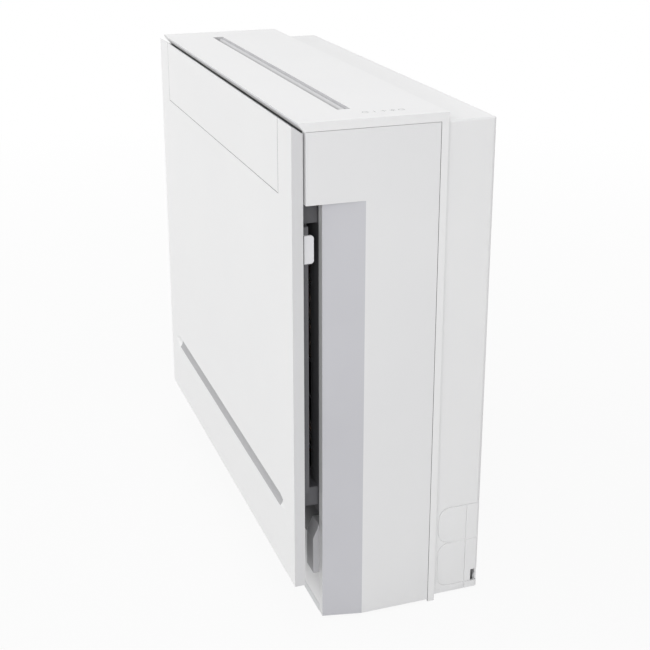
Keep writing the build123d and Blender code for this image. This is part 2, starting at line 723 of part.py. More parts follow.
def coil_fins(left, right, front, depth, bottom, tubes):
    """Stack of fins with a hole for every tube."""
    centres = coil_centres(front, depth, bottom, tubes)
    top = bottom + TUBE_PITCH * (tubes / COIL_ROWS + 0.5)
    face = Plane.YZ * Pos((2 * front + depth) / 2, (bottom + top) / 2) * Rectangle(depth, top - bottom)
    for y, z in centres:
        face -= Plane.YZ * Pos(y, z) * Circle(TUBE_RADIUS + PRESS_CLEARANCE)
    fin = extrude(face, amount=FIN_THICKNESS)
    count = int((right - left - COIL_PLATE) // FIN_PITCH) + 1
    pitch = (right - left - FIN_THICKNESS) / (count - 1)
    return Compound(children=[Pos(left + i * pitch, 0, 0) * fin for i in range(count)])


def coil_tubes(left, right, front, depth, bottom, tubes):
    """Serpentine tube of a coil: straight runs joined by half-round bends at alternate ends."""
    centres = coil_centres(front, depth, bottom, tubes)
    over = COIL_OVERHANG
    tube = None
    for y, z in centres:
        run = rod_x(TUBE_RADIUS, left - over, right + over, y, z)
        tube = run if tube is None else tube + run
    for i, ((y0, z0), (y1, z1)) in enumerate(zip(centres, centres[1:])):
        end = left - over if i % 2 == 0 else right + over
        reach = math.hypot(y1 - y0, z1 - z0) / 2
        sign = -1 if i % 2 == 0 else 1
        plane = Plane(
            origin=(end, (y0 + y1) / 2, (z0 + z1) / 2),
            x_dir=(0, (y1 - y0) / (2 * reach), (z1 - z0) / (2 * reach)),
            z_dir=(sign, 0, 0),
        )
        ring = plane * (Rot(90, 0, 0) * Torus(reach, TUBE_RADIUS))
        keep = block(min(end, end + sign * 2 * reach), max(end, end + sign * 2 * reach),
                     front - reach, front + depth + reach, bottom - 2 * reach,
                     bottom + TUBE_PITCH * (tubes / COIL_ROWS + 1) + reach)
        tube += ring & keep
    return tube


def blade(radius, chord, thickness, pitch, angle, centre):
    """Four corners of one fan blade in the plane square to the fan's axis."""
    a = math.radians(angle)
    lean = math.radians(angle + 180 - pitch)
    tip = (centre[0] + radius * math.cos(a), centre[1] + radius * math.sin(a))
    root = (tip[0] + chord * math.cos(lean), tip[1] + chord * math.sin(lean))
    side = (-math.sin(lean) * thickness / 2, math.cos(lean) * thickness / 2)
    return [
        (tip[0] + side[0], tip[1] + side[1]),
        (root[0] + side[0], root[1] + side[1]),
        (root[0] - side[0], root[1] - side[1]),
        (tip[0] - side[0], tip[1] - side[1]),
    ]


def room_fan():
    """Cross-flow fan: blades between discs, on stub shafts."""
    centre = (ROOM_FAN_Y, ROOM_FAN_Z)
    step = (ROOM_FAN_RIGHT - ROOM_FAN_LEFT - ROOM_FAN_DISC) / (ROOM_FAN_DISCS - 1)
    discs = []
    for i in range(ROOM_FAN_DISCS):
        x = ROOM_FAN_LEFT + i * step
        discs.append(rod_x(ROOM_FAN_RADIUS, x, x + ROOM_FAN_DISC, *centre))
    tip = ROOM_FAN_RADIUS - 1
    blades = [
        prism_x(blade(tip, ROOM_BLADE_CHORD, ROOM_BLADE_THICKNESS, ROOM_BLADE_PITCH, 360 * i / ROOM_FAN_BLADES, centre),
                ROOM_FAN_LEFT, ROOM_FAN_RIGHT)
        for i in range(ROOM_FAN_BLADES)
    ]
    left = rod_x(ROOM_SHAFT_RADIUS, ROOM_FAN_LEFT - SEAM - END_PLATE - BEARING_LENGTH / 2, ROOM_FAN_LEFT + 1, *centre)
    right = rod_x(ROOM_SHAFT_RADIUS, ROOM_FAN_RIGHT - 1, ROOM_FAN_RIGHT + SEAM + END_PLATE + SHAFT_GRIP, *centre)
    return discs[0] + (discs[1:] + blades + [left, right])


def end_plate(x0, hole):
    """Side wall of the fan chamber, from the front frame to the bulkhead."""
    plate = block(x0, x0 + END_PLATE, FRAME_BACK, BULKHEAD_Y, ROOM_FAN_Z - ROOM_FAN_RADIUS - 10,
                  HEIGHT - THROAT_DEPTH)
    plate -= block(x0 - 1, x0 + END_PLATE + 1, SLOT_FRONT, SLOT_FRONT + SLOT_WIDTH,
                   HEIGHT - THROAT_DEPTH - FLAP_SWING_ROOM, HEIGHT)
    return plate - rod_x(hole, x0 - 1, x0 + END_PLATE + 1, ROOM_FAN_Y, ROOM_FAN_Z)


def fan_scroll():
    """Curved rear wall that leads the air from the fan up to the outlet."""
    inner = ROOM_FAN_RADIUS + SCROLL_CLEARANCE
    outer = inner + SCROLL_WALL
    x0 = ROOM_FAN_LEFT - SEAM
    x1 = ROOM_FAN_RIGHT + SEAM
    ring = rod_x(outer, x0, x1, ROOM_FAN_Y, ROOM_FAN_Z) - rod_x(inner, x0 - 1, x1 + 1, ROOM_FAN_Y, ROOM_FAN_Z)
    keep = block(x0, x1, ROOM_FAN_Y, ROOM_FAN_Y + outer, ROOM_FAN_Z - outer, ROOM_FAN_Z + inner * 0.86)
    rise = prism_x(
        [
            (ROOM_FAN_Y + inner * 0.5, ROOM_FAN_Z + inner * 0.86),
            (ROOM_FAN_Y + outer * 0.5 + 1, ROOM_FAN_Z + inner * 0.86),
            (SLOT_FRONT + SLOT_WIDTH + THROAT_WALL, HEIGHT - THROAT_DEPTH),
            (SLOT_FRONT + SLOT_WIDTH, HEIGHT - THROAT_DEPTH),
        ],
        x0,
        x1,
    )
    return (ring & keep) + rise


def fan_tongue():
    """Sloping front wall of the outlet, with a lip towards the fan."""
    top = HEIGHT - THROAT_DEPTH
    return prism_x(
        [
            (FRAME_BACK, RECESS_TOP + 8),
            (SLOT_FRONT - THROAT_WALL, top),
            (SLOT_FRONT, top),
            (SLOT_FRONT, top - 6),
            (SLOT_FRONT - 8, top - 20),
            (FRAME_BACK, RECESS_TOP + 3),
        ],
        ROOM_FAN_LEFT - SEAM,
        ROOM_FAN_RIGHT + SEAM,
    )


def fan_bearing():
    """Rubber-held bush at the fan's free end."""
    x1 = ROOM_FAN_LEFT - SEAM - END_PLATE
    bush = rod_x(BEARING_RADIUS, x1 - BEARING_LENGTH, x1, ROOM_FAN_Y, ROOM_FAN_Z)
    return bush - rod_x(ROOM_SHAFT_RADIUS + RUNNING_CLEARANCE, x1 - BEARING_LENGTH + 2, x1 + 1, ROOM_FAN_Y, ROOM_FAN_Z)


def room_motor():
    """Motor of the room fan, bolted to the right end plate."""
    x0 = ROOM_FAN_RIGHT + SEAM + END_PLATE
    motor = rod_x(ROOM_MOTOR_RADIUS, x0, x0 + ROOM_MOTOR_LENGTH, ROOM_FAN_Y, ROOM_FAN_Z)
    motor = fillet(motor.edges().filter_by(GeomType.CIRCLE), 4)
    return motor - rod_x(ROOM_SHAFT_RADIUS + RUNNING_CLEARANCE, x0 - 1, x0 + SHAFT_GRIP + 1, ROOM_FAN_Y, ROOM_FAN_Z)


def rear_fan():
    """Radial impeller of the outdoor side with its shaft."""
    centre = (REAR_FAN_X, REAR_FAN_Z)
    rear = REAR_FAN_FRONT + REAR_FAN_LENGTH
    disc = rod_y(REAR_FAN_RADIUS, rear - REAR_FAN_DISC, rear, *centre)
    ring = rod_y(REAR_FAN_RADIUS, REAR_FAN_FRONT, REAR_FAN_FRONT + REAR_FAN_DISC, *centre)
    ring -= rod_y(REAR_FAN_RADIUS - REAR_BLADE_CHORD, REAR_FAN_FRONT - 1, REAR_FAN_FRONT + REAR_FAN_DISC + 1, *centre)
    hub = rod_y(REAR_SHAFT_RADIUS * 3, rear - REAR_FAN_DISC - 12, rear, *centre)
    shaft = rod_y(REAR_SHAFT_RADIUS, OUTDOOR_FRONT + REAR_MOTOR_LENGTH - SHAFT_GRIP, rear, *centre)
    blades = [
        prism_y(blade(REAR_FAN_RADIUS - 1, REAR_BLADE_CHORD, REAR_BLADE_THICKNESS, REAR_BLADE_PITCH,
                      360 * i / REAR_FAN_BLADES, centre), REAR_FAN_FRONT, rear)
        for i in range(REAR_FAN_BLADES)
    ]
    return disc + ([ring, hub, shaft] + blades)


def rear_motor():
    """Motor of the outdoor fan, on the bulkhead and inside the impeller."""
    y1 = OUTDOOR_FRONT + REAR_MOTOR_LENGTH
    motor = rod_y(REAR_MOTOR_RADIUS, OUTDOOR_FRONT, y1, REAR_FAN_X, REAR_FAN_Z)
    motor = fillet(motor.edges().filter_by(GeomType.CIRCLE), 4)
    return motor - rod_y(REAR_SHAFT_RADIUS + RUNNING_CLEARANCE, y1 - SHAFT_GRIP - 1, y1 + 1, REAR_FAN_X, REAR_FAN_Z)


def volute():
    """Casing round the outdoor impeller, with a chute down to the outlet duct."""
    t = VOLUTE_WALL
    inner = REAR_FAN_RADIUS + VOLUTE_GAP
    front = REAR_FAN_FRONT - VOLUTE_END_GAP
    rear = REAR_FAN_FRONT + REAR_FAN_LENGTH + VOLUTE_END_GAP
    x = REAR_FAN_X - VOLUTE_OFFSET
    left = x - inner
    casing = rod_y(inner + t, front - t, rear + t, x, REAR_FAN_Z)
    casing += block(left - t, left + CHUTE_WIDTH + t, front - t, rear + t, CHUTE_BOTTOM, REAR_FAN_Z)
    hollow = rod_y(inner, front, rear, x, REAR_FAN_Z)
    hollow += block(left, left + CHUTE_WIDTH, front, rear, CHUTE_BOTTOM - 1, REAR_FAN_Z)
    mouth = rod_y(REAR_FAN_RADIUS - REAR_BLADE_CHORD, front - t - 1, front + 1, REAR_FAN_X, REAR_FAN_Z)
    feet = []
    for angle in (45, 135, 315):
        a = math.radians(angle)
        feet.append(rod_y(5, OUTDOOR_FRONT, front - t, REAR_FAN_X + (REAR_FAN_RADIUS + 6) * math.cos(a),
                          REAR_FAN_Z + (REAR_FAN_RADIUS + 6) * math.sin(a)))
    return (casing - hollow - mouth) + feet


def compressor():
    """Rotary compressor shell on its foot plate."""
    top = COMPRESSOR_BOTTOM + COMPRESSOR_HEIGHT
    shell = rod_z(COMPRESSOR_RADIUS, COMPRESSOR_BOTTOM, top, COMPRESSOR_X, COMPRESSOR_Y)
    shell = fillet(shell.edges().filter_by(GeomType.CIRCLE).sort_by(Axis.Z)[-1], 22)
    plate = rod_z(COMPRESSOR_RADIUS, COMPRESSOR_BOTTOM - 3, COMPRESSOR_BOTTOM, COMPRESSOR_X, COMPRESSOR_Y)
    return shell + plate


def compressor_mounts():
    """Three rubber bushes under the compressor."""
    bushes = []
    for angle in (90, 210, 330):
        a = math.radians(angle)
        bushes.append(rod_z(8, BASE_FLOOR, COMPRESSOR_BOTTOM - 3, COMPRESSOR_X + (COMPRESSOR_RADIUS - 10) * math.cos(a),
                            COMPRESSOR_Y + (COMPRESSOR_RADIUS - 10) * math.sin(a)))
    return Compound(children=bushes)


def accumulator():
    """Suction accumulator beside the compressor."""
    can = rod_z(ACCUMULATOR_RADIUS, ACCUMULATOR_Z, ACCUMULATOR_Z + ACCUMULATOR_HEIGHT, ACCUMULATOR_X, COMPRESSOR_Y)
    return fillet(can.edges().filter_by(GeomType.CIRCLE), 6)


def coil_end(right, front, depth, bottom, tubes, index):
    """Free end of a coil's first or last tube."""
    y, z = coil_centres(front, depth, bottom, tubes)[index]
    return right + COIL_OVERHANG, y, z


def pipes():
    """Refrigerant lines between the compressor, the two coils and the accumulator."""
    top = COMPRESSOR_BOTTOM + COMPRESSOR_HEIGHT
    hot = coil_end(REAR_COIL_RIGHT, REAR_COIL_FRONT, REAR_COIL_DEPTH, REAR_COIL_BOTTOM, REAR_COIL_TUBES, -1)
    warm = coil_end(REAR_COIL_RIGHT, REAR_COIL_FRONT, REAR_COIL_DEPTH, REAR_COIL_BOTTOM, REAR_COIL_TUBES, 0)
    cold = coil_end(ROOM_COIL_RIGHT, ROOM_COIL_FRONT, ROOM_COIL_DEPTH, ROOM_COIL_BOTTOM, ROOM_COIL_TUBES, 0)
    cool = coil_end(ROOM_COIL_RIGHT, ROOM_COIL_FRONT, ROOM_COIL_DEPTH, ROOM_COIL_BOTTOM, ROOM_COIL_TUBES, -1)
    behind = REAR_FAN_FRONT + REAR_FAN_LENGTH + VOLUTE_END_GAP + VOLUTE_WALL + PIPE_RADIUS + 3
    over = top + 32
    save("discharge_pipe", pipe(
        [(COMPRESSOR_X, COMPRESSOR_Y, top), (COMPRESSOR_X, COMPRESSOR_Y, over), (COMPRESSOR_X, behind, over),
         (hot[0] + 24, behind, over), (hot[0] + 24, behind, hot[2]), (hot[0] + 24, hot[1], hot[2]), hot],
        PIPE_RADIUS, 11))
    port_z = PIPE_PORT_Z + PIPE_PORT_HEIGHT / 2
    lane = PIPE_PORT_X + 18
    save("capillary", pipe(
        [warm, (warm[0] + 32, warm[1], warm[2]), (warm[0] + 32, warm[1], port_z), (lane, warm[1], port_z),
         (lane, SPOUT_Y, port_z), (lane, SPOUT_Y, cold[2]), (lane, cold[1], cold[2]), cold],
        CAPILLARY_RADIUS, 8))
    lane = PIPE_PORT_X + PIPE_PORT_WIDTH - 14
    save("suction_pipe", pipe(
        [cool, (lane, cool[1], cool[2]), (lane, cool[1], port_z), (lane, COMPRESSOR_Y, port_z),
         (ACCUMULATOR_X, COMPRESSOR_Y, port_z), (ACCUMULATOR_X, COMPRESSOR_Y, ACCUMULATOR_Z + ACCUMULATOR_HEIGHT)],
        PIPE_RADIUS, 14))
    save("accumulator_pipe", pipe(
        [(ACCUMULATOR_X, COMPRESSOR_Y, ACCUMULATOR_Z), (ACCUMULATOR_X, COMPRESSOR_Y, ACCUMULATOR_Z - 20),
         (COMPRESSOR_X + COMPRESSOR_RADIUS, COMPRESSOR_Y, ACCUMULATOR_Z - 20)],
        PIPE_RADIUS, 11))


def drip_tray():
    """Condensate tray under the room coil."""
    x0 = ROOM_COIL_LEFT - 24
    x1 = ROOM_COIL_RIGHT + 14
    y1 = FRAME_BACK + TRAY_DEPTH
    floor_z = ROOM_COIL_BOTTOM
    bottom = floor_z - TRAY_WALL
    tray = block(x0, x1, FRAME_BACK, y1, bottom, bottom + TRAY_HEIGHT)
    tray -= block(x0 + TRAY_WALL, x1 - TRAY_WALL, FRAME_BACK + TRAY_WALL, y1 - TRAY_WALL, floor_z, bottom + TRAY_HEIGHT + 1)
    tray -= block(ROOM_COIL_RIGHT - 2, x1 + 1, FRAME_BACK + TRAY_WALL, y1 - TRAY_WALL, floor_z, bottom + TRAY_HEIGHT + 1)
    tray -= rod_z(SPOUT_RADIUS - SPOUT_WALL, bottom - 1, floor_z + 1, SPOUT_X, SPOUT_Y)
    return tray


def drain_hose():
    """Hose from the tray down to the hole in the base."""
    top = ROOM_COIL_BOTTOM - TRAY_WALL
    hose = rod_z(SPOUT_RADIUS, BASE_FLOOR, top, SPOUT_X, SPOUT_Y)
    return hose - rod_z(SPOUT_RADIUS - SPOUT_WALL, BASE_FLOOR - 1, top + 1, SPOUT_X, SPOUT_Y)


def lid_screw_places():
    """Corners (X, Z) of the control box where its lid is screwed down."""
    inset = POST_RADIUS + BOX_WALL / 2
    return [(x, z) for x in (BOX_LEFT + inset, BOX_RIGHT - inset) for z in (BOX_BOTTOM + inset, BOX_TOP - inset)]


def control_box():
    """Sheet box for the electronics on the bulkhead, with a post in each corner."""
    t = BOX_WALL
    box = block(BOX_LEFT, BOX_RIGHT, BOX_FRONT, BOX_REAR, BOX_BOTTOM, BOX_TOP)
    box -= block(BOX_LEFT + t, BOX_RIGHT - t, BOX_FRONT + t, BOX_REAR + 1, BOX_BOTTOM + t, BOX_TOP - t)
    for x, z in lid_screw_places():
        box += rod_y(POST_RADIUS, BOX_FRONT + t, BOX_REAR, x, z)
        box -= rod_y(SCREW_SHANK_RADIUS + PRESS_CLEARANCE, BOX_REAR - SCREW_SHANK_LENGTH, BOX_REAR + 1, x, z)
    return box


def control_lid():
    """Lid of the control box."""
    lid = block(BOX_LEFT, BOX_RIGHT, BOX_REAR, BOX_REAR + BOX_WALL, BOX_BOTTOM, BOX_TOP)
    for x, z in lid_screw_places():
        lid -= rod_y(SCREW_SHANK_RADIUS + PRESS_CLEARANCE, BOX_REAR - 1, BOX_REAR + BOX_WALL + 1, x, z)
    return lid


def lid_screws():
    """Four screws of the control box lid."""
    y = BOX_REAR + BOX_WALL
    screws = [
        rod_y(SCREW_HEAD_RADIUS, y, y + SCREW_HEAD_HEIGHT, x, z)
        + rod_y(SCREW_SHANK_RADIUS, y - SCREW_SHANK_LENGTH, y, x, z)
        for x, z in lid_screw_places()
    ]
    return Compound(children=screws)


def control_board():
    """Circuit board with its coolers and capacitors, seated on the floor of the box."""
    y0 = BOX_FRONT + BOX_WALL
    x0, x1 = BOX_LEFT + 10, BOX_RIGHT - 10
    z0, z1 = BOX_BOTTOM + 18, BOX_TOP - 18
    board = block(x0, x1, y0, y0 + 1.6, z0, z1)
    parts = [block(x0 + 4, x0 + 30, y0 + 1, y0 + 36, z0 + 14, z0 + 66)]
    for i in range(3):
        parts.append(rod_y(9, y0 + 1, y0 + 34, x1 - 14, z0 + 24 + 24 * i))
    for i in range(4):
        parts.append(block(x0 + 6, x0 + 22, y0 + 1, y0 + 14, z0 + 92 + 20 * i, z0 + 104 + 20 * i))
    parts.append(block(x1 - 22, x1 - 6, y0 + 1, y0 + 16, z1 - 60, z1 - 10))
    return board + parts


def touch_board():
    """Touch and display board against the underside of the cap."""
    z1 = HEIGHT - CAP_THICKNESS
    return block(CONSOLE_LEFT, CONSOLE_RIGHT, CONSOLE_FRONT, CONSOLE_REAR, z1 - CONSOLE_BOARD, z1)


def cable_gland():
    """Clamp for the mains lead by the cable notch at the right, seated on the base."""
    x1 = REAR_HALF_WIDTH - WALL - SEAM - BASE_SHEET - SEAM
    y = REAR_Y - NOTCH_DEPTH - 8
    z = (NOTCH_BOTTOM + NOTCH_TOP) / 2
    clamp = block(x1 - 16, x1, y - GLAND_RADIUS, y + GLAND_RADIUS, BASE_FLOOR, z + GLAND_RADIUS)
    return clamp - rod_x(GLAND_BORE, x1 - 17, x1 + 1, y, z)


def flap_motor():
    """Geared stepper motor of the flap, at the right end of the outlet throat."""
    x0 = SLOT_LENGTH / 2 + THROAT_WALL
    y0 = FLAP_PIVOT_Y - FLAP_MOTOR_DEPTH / 2
    z1 = HEIGHT - CAP_THICKNESS
    body = block(x0, x0 + FLAP_MOTOR_LENGTH, y0, y0 + FLAP_MOTOR_DEPTH, z1 - FLAP_MOTOR_HEIGHT, z1)
    end = FLAP_LENGTH / 2 + FLAP_DRIVE_LENGTH
    return body - rod_x(FLAP_PIN_RADIUS + RUNNING_CLEARANCE, x0 - 1, end + 1, FLAP_PIVOT_Y, FLAP_PIVOT_Z)


def panel_catches():
    """Four posts that hold the front panel off the cabinet."""
    face = FRONT_Y + PANEL_SKIN
    posts = []
    for x in (-CATCH_X, CATCH_X):
        posts.append(rod_y(CATCH_RADIUS, face, FRAME_KICK_Y, x, CATCH_LOW_Z))
        posts.append(rod_y(CATCH_RADIUS, face, SIDE_FRONT, x, CATCH_HIGH_Z))
    return Compound(children=posts)


def rear_coil_legs():
    """Two channels that carry the outdoor coil above the base."""
    legs = []
    for x in (REAR_COIL_LEFT, REAR_COIL_RIGHT - LEG_CHANNEL):
        leg = block(x, x + LEG_CHANNEL, REAR_COIL_FRONT, REAR_COIL_FRONT + REAR_COIL_DEPTH, BASE_FLOOR, REAR_COIL_BOTTOM)
        leg -= block(x - 1, x + LEG_CHANNEL + 1, REAR_COIL_FRONT + BOX_WALL, REAR_COIL_FRONT + REAR_COIL_DEPTH - BOX_WALL,
                     BASE_FLOOR + BOX_WALL, REAR_COIL_BOTTOM - BOX_WALL)
        legs.append(leg)
    return Compound(children=legs)


def save_outer_shells():
    """Casing, panels, filters and flap."""
    save("front_panel", mitred_panel())
    save("panel_catches", panel_catches())
    save("top_cover", top_cover())
    save("side_panel_right", side_panel())
    save("side_panel_left", mirrored(side_panel()))
    save("front_frame", front_frame())
    save("intake_foot_right", intake_foot())
    save("intake_foot_left", mirrored(intake_foot()))
    save("filter_rail_upper", filter_rail(True))
    save("filter_rail_lower", filter_rail(False))
    save("filter_right", filter_frame())
    save("filter_left", mirrored(filter_frame()))
    save("filter_mesh_right", filter_mesh())
    save("filter_mesh_left", mirrored(filter_mesh()))
    save("outlet_flap", flap())
    save("flap_motor", flap_motor())
    save("touch_board", touch_board())
    save("rear_cover", rear_cover())
    save("duct_collar_left", duct_collar(DUCT_CENTRES[0]))
    save("duct_collar_right", duct_collar(DUCT_CENTRES[1]))
    save("wall_bracket", wall_bracket())
    save("base_pan", base_pan())
    save("rubber_feet", rubber_feet())


def save_inner_parts():
    """Fans, coils, refrigerant circuit and electronics."""
    save("bulkhead", bulkhead())
    save("room_fan", room_fan())
    save("room_fan_motor", room_motor())
    save("room_fan_bearing", fan_bearing())
    save("fan_end_plate_left", end_plate(ROOM_FAN_LEFT - SEAM - END_PLATE, ROOM_SHAFT_RADIUS + 1))
    save("fan_end_plate_right", end_plate(ROOM_FAN_RIGHT + SEAM, ROOM_SHAFT_RADIUS + 1))
    save("fan_scroll", fan_scroll())
    save("fan_tongue", fan_tongue())
    room_coil = (ROOM_COIL_LEFT, ROOM_COIL_RIGHT, ROOM_COIL_FRONT, ROOM_COIL_DEPTH, ROOM_COIL_BOTTOM, ROOM_COIL_TUBES)
    rear_coil = (REAR_COIL_LEFT, REAR_COIL_RIGHT, REAR_COIL_FRONT, REAR_COIL_DEPTH, REAR_COIL_BOTTOM, REAR_COIL_TUBES)
    save("room_coil_fins", coil_fins(*room_coil))
    save("room_coil_tubes", coil_tubes(*room_coil))
    save("rear_coil_fins", coil_fins(*rear_coil))
    save("rear_coil_tubes", coil_tubes(*rear_coil))
    save("rear_coil_legs", rear_coil_legs())
    save("rear_fan", rear_fan())
    save("rear_fan_motor", rear_motor())
    save("fan_casing", volute())
    save("compressor", compressor())
    save("compressor_mounts", compressor_mounts())
    save("accumulator", accumulator())
    pipes()
    save("drip_tray", drip_tray())
    save("drain_hose", drain_hose())
    save("control_box", control_box())
    save("control_lid", control_lid())
    save("lid_screws", lid_screws())
    save("control_board", control_board())
    save("cable_gland", cable_gland())


save_outer_shells()
save_inner_parts()
os.makedirs("parts", exist_ok=True)
for name, shape in nodes.items():
    export_step(shape, f"parts/{name}.step")
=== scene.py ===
"""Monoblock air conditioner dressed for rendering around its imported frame.

Everything is in metres: +Z is up, the front panel looks to -Y and +X is to the right seen from the front.
"""

import json
import logging
import math
from dataclasses import dataclass
from enum import Enum

import bmesh
import bpy
from mathutils import Matrix, Vector


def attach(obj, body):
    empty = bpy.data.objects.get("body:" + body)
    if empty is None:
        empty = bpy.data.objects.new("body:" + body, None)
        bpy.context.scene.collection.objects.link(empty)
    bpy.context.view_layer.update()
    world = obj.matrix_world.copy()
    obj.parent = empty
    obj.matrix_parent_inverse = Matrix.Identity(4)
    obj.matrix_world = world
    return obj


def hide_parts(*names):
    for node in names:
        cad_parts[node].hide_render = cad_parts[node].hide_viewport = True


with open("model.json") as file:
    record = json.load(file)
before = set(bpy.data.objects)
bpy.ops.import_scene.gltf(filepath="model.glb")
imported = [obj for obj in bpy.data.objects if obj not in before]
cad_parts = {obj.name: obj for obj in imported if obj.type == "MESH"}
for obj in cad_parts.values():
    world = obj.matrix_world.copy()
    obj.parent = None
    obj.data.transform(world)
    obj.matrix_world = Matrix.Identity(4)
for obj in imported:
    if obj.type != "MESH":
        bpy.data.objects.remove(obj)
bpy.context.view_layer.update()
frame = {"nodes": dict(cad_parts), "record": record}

LOG = logging.getLogger("air_conditioner")
MM = 0.001

# Shared by every finish: its faint clouds, its gloss and how deep its fine relief may go
CLOUD_SCALE = 5.0
CLOUD_DETAIL = 3.0
CLOUD_SPAN = (0.3, 0.7)
COAT_ROUGHNESS = 0.18
GLOSS_SPREAD = 0.04
GRAIN_DETAIL = 4.0
RELIEF_REACH = 0.2 * MM
BRUSH_STRETCH = (0.04, 1.0, 1.0)

# How a CAD node's triangles are joined and parted before its edges are rounded
WELD = 0.002 * MM
CUT_REACH = 0.001 * MM
TOP_REACH = 0.01 * MM
FLAT_DEG = 0.5
ROUND_FROM_DEG = 28.0


class Grain(Enum):
    """How a surface's fine relief is laid out."""

    MOULDED = "moulded"
    BRUSHED = "brushed"
    WOVEN = "woven"
    FINNED = "finned"


@dataclass(frozen=True)
class Finish:
    """One procedural finish, painted in object coordinates.

    Args:
        name: material name in a maker's words.
        colour: linear colour of the surface.
        shade: linear colour of its faint clouds.
        roughness: mean roughness.
        metal: 1 for bare metal.
        grain: layout of the fine relief.
        grain_scale: grain cells per metre.
        grain_depth: bump strength of the grain.
        coat: clear coat weight.
        fade: heights between which the shade turns to the colour, in place of clouds; this paints shade that
            darkens lower down.
    """

    name: str
    colour: tuple[float, float, float]
    shade: tuple[float, float, float]
    roughness: float
    metal: float = 0.0
    grain: Grain = Grain.MOULDED
    grain_scale: float = 1400.0
    grain_depth: float = 0.03
    coat: float = 0.0
    fade: tuple[float, float] | None = None

    def material(self) -> bpy.types.Material:
        """Builds the finish once and returns it.

        Returns:
            The Blender material of this finish.
        """
        made = bpy.data.materials.get(self.name)
        if made is not None:
            return made
        made = bpy.data.materials.new(self.name)
        made.use_nodes = True
        nodes, links = made.node_tree.nodes, made.node_tree.links
        shader = nodes["Principled BSDF"]
        shader.inputs["Metallic"].default_value = self.metal
        shader.inputs["Coat Weight"].default_value = self.coat
        shader.inputs["Coat Roughness"].default_value = COAT_ROUGHNESS
        coords = nodes.new("ShaderNodeTexCoord")
        clouds = nodes.new("ShaderNodeTexNoise")
        clouds.inputs["Scale"].default_value = CLOUD_SCALE
        clouds.inputs["Detail"].default_value = CLOUD_DETAIL
        links.new(coords.outputs["Object"], clouds.inputs["Vector"])
        tint = nodes.new("ShaderNodeValToRGB")
        for stop, place, tone in zip(tint.color_ramp.elements, CLOUD_SPAN, (self.shade, self.colour)):
            stop.position = place
            stop.color = (*tone, 1.0)
        links.new(self._tone(nodes, links, coords, clouds), tint.inputs["Fac"])
        links.new(tint.outputs["Color"], shader.inputs["Base Color"])
        relief = self._relief(nodes, links, coords)
        gloss = nodes.new("ShaderNodeMapRange")
        gloss.inputs["To Min"].default_value = self.roughness - GLOSS_SPREAD
        gloss.inputs["To Max"].default_value = self.roughness + GLOSS_SPREAD
        links.new(relief, gloss.inputs["Value"])
        links.new(gloss.outputs["Result"], shader.inputs["Roughness"])
        bump = nodes.new("ShaderNodeBump")
        bump.inputs["Strength"].default_value = self.grain_depth
        bump.inputs["Distance"].default_value = RELIEF_REACH
        links.new(relief, bump.inputs["Height"])
        links.new(bump.outputs["Normal"], shader.inputs["Normal"])
        return made

    def _tone(
        self,
        nodes: bpy.types.Nodes,
        links: bpy.types.NodeLinks,
        coords: bpy.types.Node,
        clouds: bpy.types.Node,
    ) -> bpy.types.NodeSocket:
        """Adds the nodes that say where the shade ends and the colour begins.

        Args:
            nodes: nodes of the material.
            links: links of the material.
            coords: the texture coordinate node.
            clouds: the cloud noise.

        Returns:
            The socket that runs from 0, shade, to 1, colour.
        """
        if self.fade is None:
            return clouds.outputs["Fac"]
        # With fade set, the finish is painted shade: darker lower down, by height in object coordinates.
        split = nodes.new("ShaderNodeSeparateXYZ")
        links.new(coords.outputs["Object"], split.inputs["Vector"])
        height = nodes.new("ShaderNodeMapRange")
        height.inputs["From Min"].default_value = self.fade[0]
        height.inputs["From Max"].default_value = self.fade[1]
        links.new(split.outputs["Z"], height.inputs["Value"])
        return height.outputs["Result"]

    def _relief(
        self, nodes: bpy.types.Nodes, links: bpy.types.NodeLinks, coords: bpy.types.Node
    ) -> bpy.types.NodeSocket:
        """Adds the nodes of the fine relief.

        Args:
            nodes: nodes of the material.
            links: links of the material.
            coords: the texture coordinate node.

        Returns:
            The socket that gives the relief's height.
        """
        if self.grain in (Grain.WOVEN, Grain.FINNED):
            waves = []
            axes = ("X", "Z") if self.grain is Grain.WOVEN else ("X",)
            for axis in axes:
                wave = nodes.new("ShaderNodeTexWave")
                wave.bands_direction = axis
                wave.inputs["Scale"].default_value = self.grain_scale
                links.new(coords.outputs["Object"], wave.inputs["Vector"])
                waves.append(wave.outputs["Fac"])
            if len(waves) == 1:
                return waves[0]
            weave = nodes.new("ShaderNodeMath")
            weave.operation = "MAXIMUM"
            links.new(waves[0], weave.inputs[0])
            links.new(waves[1], weave.inputs[1])
            return weave.outputs["Value"]
        noise = nodes.new("ShaderNodeTexNoise")
        noise.inputs["Scale"].default_value = self.grain_scale
        noise.inputs["Detail"].default_value = GRAIN_DETAIL
        if self.grain is Grain.BRUSHED:
            stretch = nodes.new("ShaderNodeMapping")
            stretch.inputs["Scale"].default_value = BRUSH_STRETCH
            links.new(coords.outputs["Object"], stretch.inputs["Vector"])
            links.new(stretch.outputs["Vector"], noise.inputs["Vector"])
        else:
            links.new(coords.outputs["Object"], noise.inputs["Vector"])
        return noise.outputs["Fac"]


